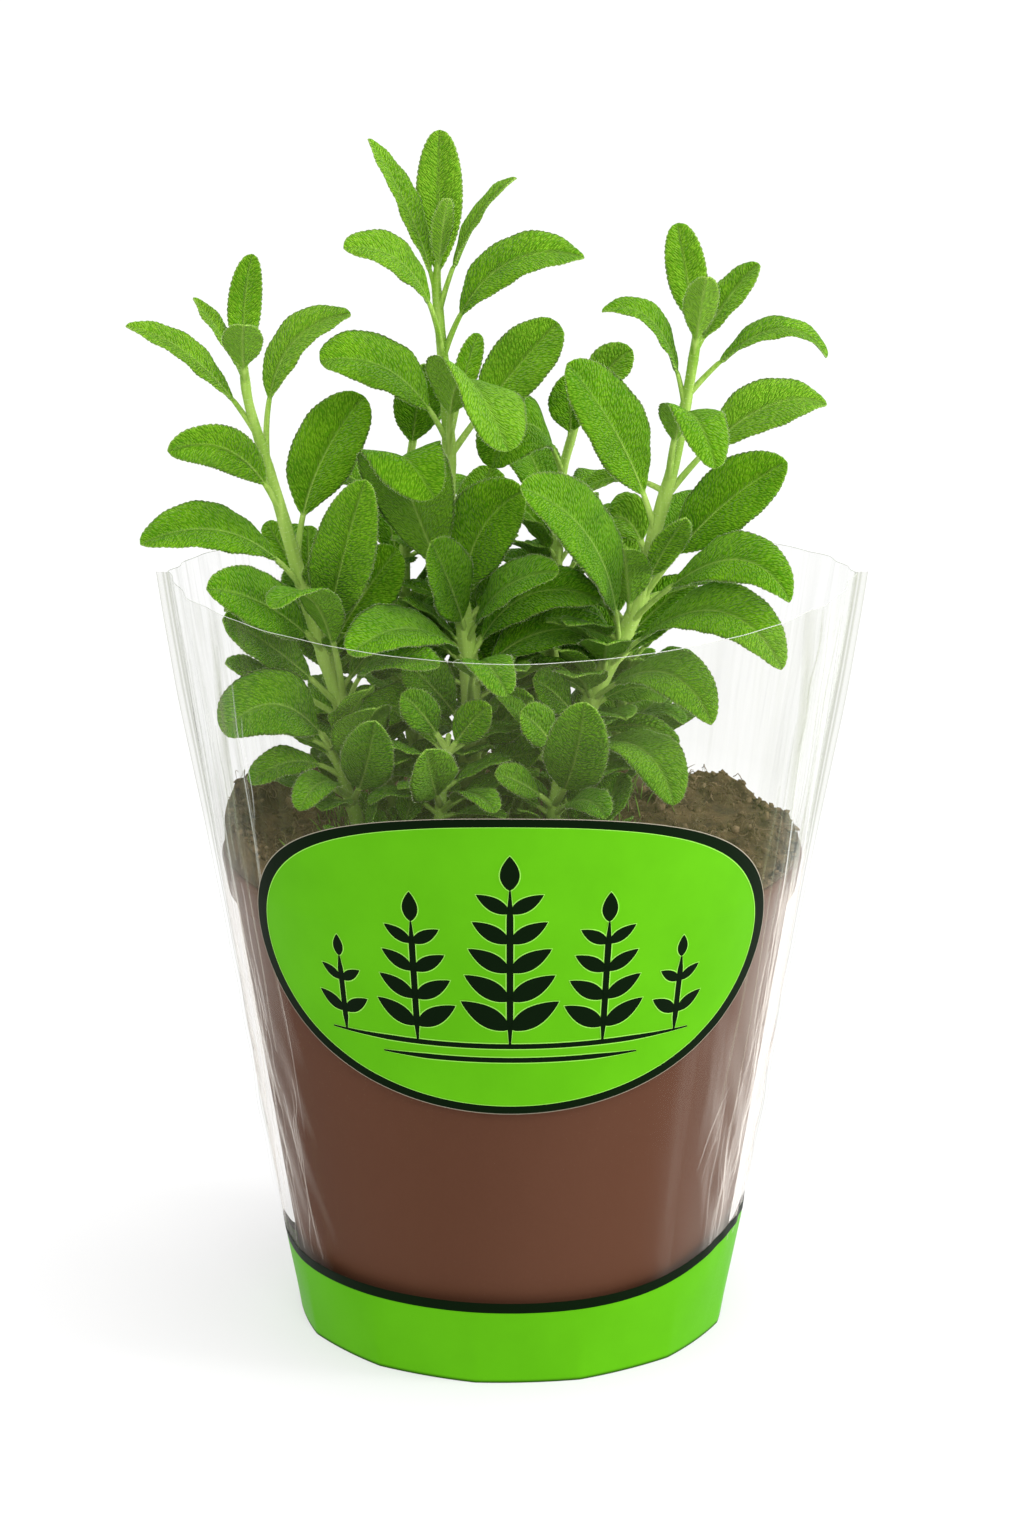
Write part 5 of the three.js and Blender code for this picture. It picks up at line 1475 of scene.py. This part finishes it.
class Leaf:
    """A leaf as one closed skin: stalk, then blade with teeth, sunken veins and a raised rib below.

    What changes along the leaf is held in columns, and what changes round it in rows.
    """

    def __init__(self, base, form, rng):
        self.form = form
        self.stalk = form.get("stalk", USUAL_STALK)
        curve = leaf_midrib(base, form)
        self.set_grid(curve_run(curve)[-1])
        self.set_frame(base, along_curve(curve, self.t[:, 0]))
        self.set_outline(rng)
        self.set_veins()

    def set_grid(self, length):
        """Rows along the leaf, and columns over its upper face and back under its lower one."""
        step, places = LEAF_STEP, LEAF_COLUMNS
        if "small" in self.form:
            step, places = SMALL_LEAF_STEP, SMALL_LEAF_COLUMNS
        self.stalk_rows = max(LEAST_STALK_ROWS, round(length * self.stalk / STALK_STEP))
        blade_rows = max(LEAST_BLADE_ROWS, round(length * (1 - self.stalk) / step))
        on_stalk = np.linspace(0, self.stalk, self.stalk_rows, endpoint=False)
        self.t = np.concatenate([on_stalk, np.linspace(self.stalk, 1, blade_rows)])[:, None]
        self.share = np.clip((self.t - self.stalk) / (1 - self.stalk), 0, 1)
        self.on_blade = smoothstep(0.0, BLADE_START, self.share)
        self.run = self.t * length
        self.columns = np.array([*places, *places[-2:0:-1]])
        self.side = np.abs(self.columns)
        self.upper = np.arange(len(self.columns)) < len(places)
        self.margins = {0: 1, len(places) - 1: -1}

    def set_frame(self, base, centre):
        """The midrib's points, and the directions along, across and out of the leaf at each."""
        self.centre = centre
        self.tangent = unit(np.gradient(centre, axis=0))
        across = np.cross(leaf_up(base, self.form), unit(centre[-1] - base))
        self.across = unit(across - (self.tangent @ across)[:, None] * self.tangent)
        self.normal = np.cross(self.tangent, self.across)

    def set_outline(self, rng):
        """Half widths of the stalk and of the blade, with teeth out of step on its two sides."""
        pointed = self.form.get("pointed", USUAL_POINT * rng.random())
        bare = blade_half_width(self.share, self.form["wide"], pointed)
        narrowed = STALK_HALF_WIDTH * (1 - STALK_NARROWS * self.t / self.stalk)
        fading = STALK_HALF_WIDTH * (1 - STALK_NARROWS) * (1 - self.share) ** 2
        stalk_half = np.where(self.t < self.stalk, narrowed, fading)
        self.phase = rng.uniform(0, TOOTH_PHASES)
        self.growing = np.minimum(1, bare / TEETH_FULL_AT)
        lag = np.where(self.columns > 0, self.phase, self.phase + TOOTH_LAG)
        turn = math.pi * (self.run + lag) / TOOTH_PITCH + TOOTH_UNEVEN * np.sin(self.run)
        teeth = TOOTH_DEPTH * (np.abs(np.sin(turn)) - 0.5)
        self.half = np.maximum(stalk_half, bare + teeth * self.on_blade * self.growing)
        self.wide = np.maximum(bare, stalk_half)
        self.cross = self.half * self.columns

    def set_veins(self):
        """Side veins that slant out from the rib, staggered on the two sides."""
        stagger = np.where(self.columns > 0, 0, VEIN_PITCH / 2)
        self.slant = (self.run - VEIN_SLANT * np.abs(self.cross) + stagger) / VEIN_PITCH
        vein = np.abs(np.sin(math.pi * self.slant)) ** VEIN_SHARPNESS
        vein = vein * smoothstep(*VEIN_OUTER, self.side) * smoothstep(*VEIN_INNER, self.side)
        self.vein = vein * (self.on_blade * self.growing)

    def bend(self):
        """The blade's fold along the rib, its puffed halves and its waved and ruffled margins."""
        fold = LEAF_FOLD * self.side ** FOLD_CURVE + PUFF * np.sin(math.pi * self.side) * self.on_blade
        swing = MARGIN_WAVE * self.wide * np.sin(math.pi * self.share)
        start = self.form["at"]
        one, other = np.sin(11 * self.share + start), np.sin(10 * self.share + start + 2)
        waves = np.where(self.columns > 0, one, other)
        ruffle = MARGIN_RUFFLE * np.sin(self.run / RUFFLE_RUN + self.phase)
        ruffle = ruffle * self.side ** 3 * np.sign(self.columns)
        return self.wide * fold + swing * self.side ** 1.5 * waves + ruffle * (self.on_blade * self.growing)

    def skin(self):
        """How far the two faces stand off the middle of the leaf, closing at the margins."""
        edge = 1 - self.side ** np.where(self.share < ROUND_UNTIL, 2, 5)
        thinned = STALK_HALF_THICK * (1 - STALK_THINS * self.t / self.stalk)
        thick = np.where(self.t < self.stalk, thinned, 0)
        thick = np.maximum(thick, BLADE_HALF_THICK * self.on_blade)
        thick = np.maximum(thick, STALK_HALF_THICK * STALK_UNDER_BLADE * (1 - self.on_blade))
        return thick * np.sqrt(np.clip(edge, 0, 1)) * np.where(self.upper, 1, -1)

    def relief(self):
        """The rib: a groove above and a ridge below, both finer towards the tip."""
        reach = RIB_REACH * (1.15 - 0.6 * self.share)
        near_rib = np.exp(-(self.cross / reach) ** 2) * self.on_blade
        return np.where(self.upper, -RIB_GROOVE, -RIB_RIDGE * (1.1 - self.share)) * near_rib

    def grow(self, shape, rng):
        """Adds the leaf to a shape, with hairs along both margins."""
        height = self.bend() - VEIN_DEPTH * self.vein + self.skin() + self.relief()
        points = self.centre[:, None] + self.across[:, None] * self.cross[..., None]
        points = points + self.normal[:, None] * height[..., None]
        faces = [tuple(reversed(face)) for face in tube_faces(*self.cross.shape)]
        off_blade = 1 - self.on_blade
        # The tone rises with the height where the leaf leaves the stem: painted shade low down, painted light
        # high up, with a random spread
        tone = (self.form["at"] - LIGHT_TONE_FROM) / LIGHT_TONE_RUN + rng.uniform(-TONE_SPREAD, TONE_SPREAD)
        shape.add(points, faces, rib=off_blade, vein=self.vein, under=~self.upper,
                  slant=self.slant * VEIN_PITCH, cross=self.cross, fade=0.85 - 0.7 * self.share,
                  margin=self.half * (1 - self.side) + 2 * off_blade, tone=np.clip(tone, -1, 1))
        rows = np.arange(self.stalk_rows // 2, len(points) - 1)
        for column, sign in self.margins.items():
            outward = self.across[rows] * sign + self.tangent[rows] * HAIR_FORWARD
            hair_tufts(shape, points[rows, column], outward, rng, hair=1, margin=NO_MARGIN)


# Small leaves, young growth and moss, placed by a seeded rule

def leaf_samples(base, form):
    """Places spread over a leaf, for keeping others clear of it."""
    shares = np.linspace(*SAMPLES_ALONG)
    centre = along_curve(leaf_midrib(base, form), shares)
    across = unit(np.cross(leaf_up(base, form), unit(centre[-1] - base)))
    stalk = form.get("stalk", USUAL_STALK)
    half = np.where(shares > stalk, blade_half_width((shares - stalk) / (1 - stalk), form["wide"]), 1)
    spots = half[:, None] * np.linspace(-1, 1, SAMPLES_ACROSS)
    return (centre[:, None] + across * spots[..., None]).reshape(-1, 3)


def within_sleeve(points):
    half, front, back, power = sleeve_reach(points[:, 2], 0)
    depth = np.where(points[:, 1] < 0, front, back)
    across, along = np.abs(points[:, 0]) / half, np.abs(points[:, 1]) / depth
    return np.all(across ** power + along ** power < SLEEVE_SHARE)


def search_tree(points):
    tree = kdtree.KDTree(len(points))
    for index, point in enumerate(points):
        tree.insert(point, index)
    tree.balance()
    return tree


def random_leaf(base, rises, lengths, shapes, stalk, rng):
    """A leaf from a base, in any direction round it, with its rise, length and shape in the given ranges."""
    turn, rise = rng.uniform(0, 2 * math.pi), rng.uniform(*rises)
    length = rng.uniform(*lengths)
    out = np.array([math.cos(turn) * math.cos(rise), math.sin(turn) * math.cos(rise), math.sin(rise)])
    tip = base + length * out
    via = (base + tip) / 2 + (0, 0, SMALL_ARCH * length)
    wide = length * rng.uniform(*shapes)
    return leaf(base[2], tuple(tip), wide, via=tuple(via), stalk=stalk, small=True)


def has_room(points, tree, above_soil):
    """Whether a leaf stays over the soil, in the sleeve, behind the front leaves and clear of others."""
    if not all(soil_height(x, y) + above_soil < z and y > SMALL_FRONT for x, y, z in points):
        return False
    return within_sleeve(points) and all(tree.find(point)[2] > SMALL_CLEARANCE for point in points)


def small_leaf(axis, tree, rng):
    """The base and form of a small leaf on a stem, or None where no room is found."""
    low, high = axis[0, 2] + SMALL_FROM_ENDS, axis[-1, 2] - SMALL_FROM_ENDS
    for _ in range(SMALL_TRIES):
        base = stem_spot(axis, rng.uniform(max(SMALL_LOW, low), min(SMALL_HIGH, high)))
        form = random_leaf(base, SMALL_RISE, SMALL_LENGTH, SMALL_SHAPE, SMALL_STALK, rng)
        if has_room(leaf_samples(base, form), tree, SMALL_ABOVE_SOIL):
            return base, form
    return None


def young_leaf(tree, rng):
    """The base and form of a leaf on a long stalk out of the soil, or None where no room is found."""
    for _ in range(SMALL_TRIES):
        x, y = rng.uniform(*YOUNG_ACROSS), rng.uniform(*YOUNG_ALONG)
        base = np.array((x, y, soil_height(x, y) - YOUNG_DEPTH))
        form = random_leaf(base, YOUNG_RISE, YOUNG_LENGTH, YOUNG_SHAPE, YOUNG_STALK, rng)
        if has_room(leaf_samples(base, form), tree, -YOUNG_DEPTH):
            return base, form
    return None


def fill_in(taken, count, place_leaf):
    """Up to a number of new leaves, each clear of all that is taken so far."""
    added = []
    for _ in range(count):
        found = place_leaf(search_tree(np.concatenate(taken)))
        if found:
            added.append(found)
            taken.append(leaf_samples(*found))
    return added


def add_small_leaves(axes):
    """Lists the small leaves of each stem, and those that come up from the soil under the name young."""
    taken = [axis[::AXIS_SKIP] for axis in axes.values()]
    for stem in STEMS:
        axis = axes[stem["name"]]
        taken += [leaf_samples(stem_spot(axis, form["at"]), form) for form in stem["leaves"]]
    rng = random.Random(SMALL_SEED)
    added = {}
    for name, count in SMALL_LEAVES.items():
        added[name] = fill_in(taken, count, lambda tree: small_leaf(axes[name], tree, rng))
    added["young"] = fill_in(taken, YOUNG_LEAVES, lambda tree: young_leaf(tree, rng))
    return added


def moss(shape, feet, rng):
    """Thin green blades that stand thick round the feet of the stems and the young leaves."""
    shares = np.linspace(0, 1, MOSS_POINTS)
    for _ in range(MOSS_BLADES):
        foot = feet[rng.randrange(len(feet))]
        x, y = foot[0] + rng.gauss(0, MOSS_SPREAD), foot[1] + rng.gauss(0, MOSS_SPREAD)
        length, heading = rng.uniform(*MOSS_LENGTH), rng.uniform(0, 2 * math.pi)
        lean, bend = rng.uniform(*MOSS_LEAN), rng.uniform(*MOSS_BEND)
        reach = length * (lean * shares + bend * shares ** 2) / 2
        rise = length * (shares - MOSS_DROOP * bend * shares ** 2)
        ground = soil_height(x, y) - MOSS_DEPTH
        x, y = x + reach * math.cos(heading), y + reach * math.sin(heading)
        points = np.stack([x, y, ground + rise], axis=1)
        if within_sleeve(points):
            shape.add_tube(strand(points, rng.uniform(*MOSS_RADIUS)), rib=1, margin=NO_MARGIN, tone=-1)


def make_young_growth(young, foliage):
    """Young leaves out of the soil, and moss round them and the stems, as one piece."""
    rng = random.Random(YOUNG_SEED)
    shape = Shape(*LEAF_MARKS)
    for base, form in young:
        Leaf(base, form, rng).grow(shape, rng)
    moss(shape, [stem["path"][0] for stem in STEMS] + [base for base, form in young], rng)
    shape.piece("young_growth", foliage, "foliage")


def make_plants():
    foliage = foliage_material()
    axes = {stem["name"]: catmull_rom(stem["path"], AXIS_STEPS) for stem in STEMS}
    added = add_small_leaves(axes)
    for number, stem in enumerate(STEMS):
        rng = random.Random(STEM_SEED + number)
        shape = Shape(*LEAF_MARKS)
        axis = axes[stem["name"]]
        make_stem(shape, stem, axis, rng)
        large = [(stem_spot(axis, form["at"]), form) for form in stem["leaves"]]
        for base, form in large + added[stem["name"]]:
            Leaf(base, form, rng).grow(shape, rng)
        shape.piece(stem["name"] + "_fine", foliage, "foliage", stem["name"])
    make_young_growth(added["young"], foliage)


# Studio

def make_floor():
    bpy.ops.mesh.primitive_plane_add(size=FLOOR_SIZE)
    floor = bpy.context.object
    floor.name = "studio_floor"
    floor.data.materials.append(floor_material())


def add_light(name, kind, power, way, place=(0, 0, 0)):
    """A light that shines a way from a place."""
    light = bpy.data.lights.new(name, kind)
    light.energy = power
    lamp = bpy.data.objects.new(name, light)
    lamp.location = place
    lamp.rotation_euler = Vector(way).to_track_quat("-Z", "Y").to_euler()
    bpy.context.scene.collection.objects.link(lamp)
    return light


def make_light():
    world = bpy.data.worlds.new("studio_world")
    world.use_nodes = True
    background = world.node_tree.nodes["Background"]
    background.inputs["Color"].default_value = WHITE
    background.inputs["Strength"].default_value = WORLD_STRENGTH
    bpy.context.scene.world = world
    add_light("soft_sun", "SUN", SUN_STRENGTH, SUN_WAY).angle = math.radians(SUN_SPREAD)
    for name, (place, target, size, power) in SOFTBOXES.items():
        light = add_light(name, "AREA", power, Vector(target) - Vector(place), place)
        light.shape = "RECTANGLE"
        light.size, light.size_y = size


def make_camera():
    pitch = math.radians(CAMERA_PITCH)
    camera = bpy.data.cameras.new("camera")
    camera.lens, camera.sensor_width = CAMERA_LENS, SENSOR
    camera.clip_start, camera.clip_end = CAMERA_CLIP
    viewer = bpy.data.objects.new("camera", camera)
    viewer.location = (0, -CAMERA_DISTANCE * MM * math.cos(pitch),
                       (CAMERA_TARGET_HEIGHT + CAMERA_DISTANCE * math.sin(pitch)) * MM)
    viewer.rotation_euler = (math.radians(90) - pitch, 0, 0)
    bpy.context.scene.collection.objects.link(viewer)
    bpy.context.scene.camera = viewer


make_camera()
make_light()
make_floor()
make_pot()
make_soil()
make_plants()
make_sleeve()
make_printing()
bpy.context.scene.view_settings.view_transform = "Standard"
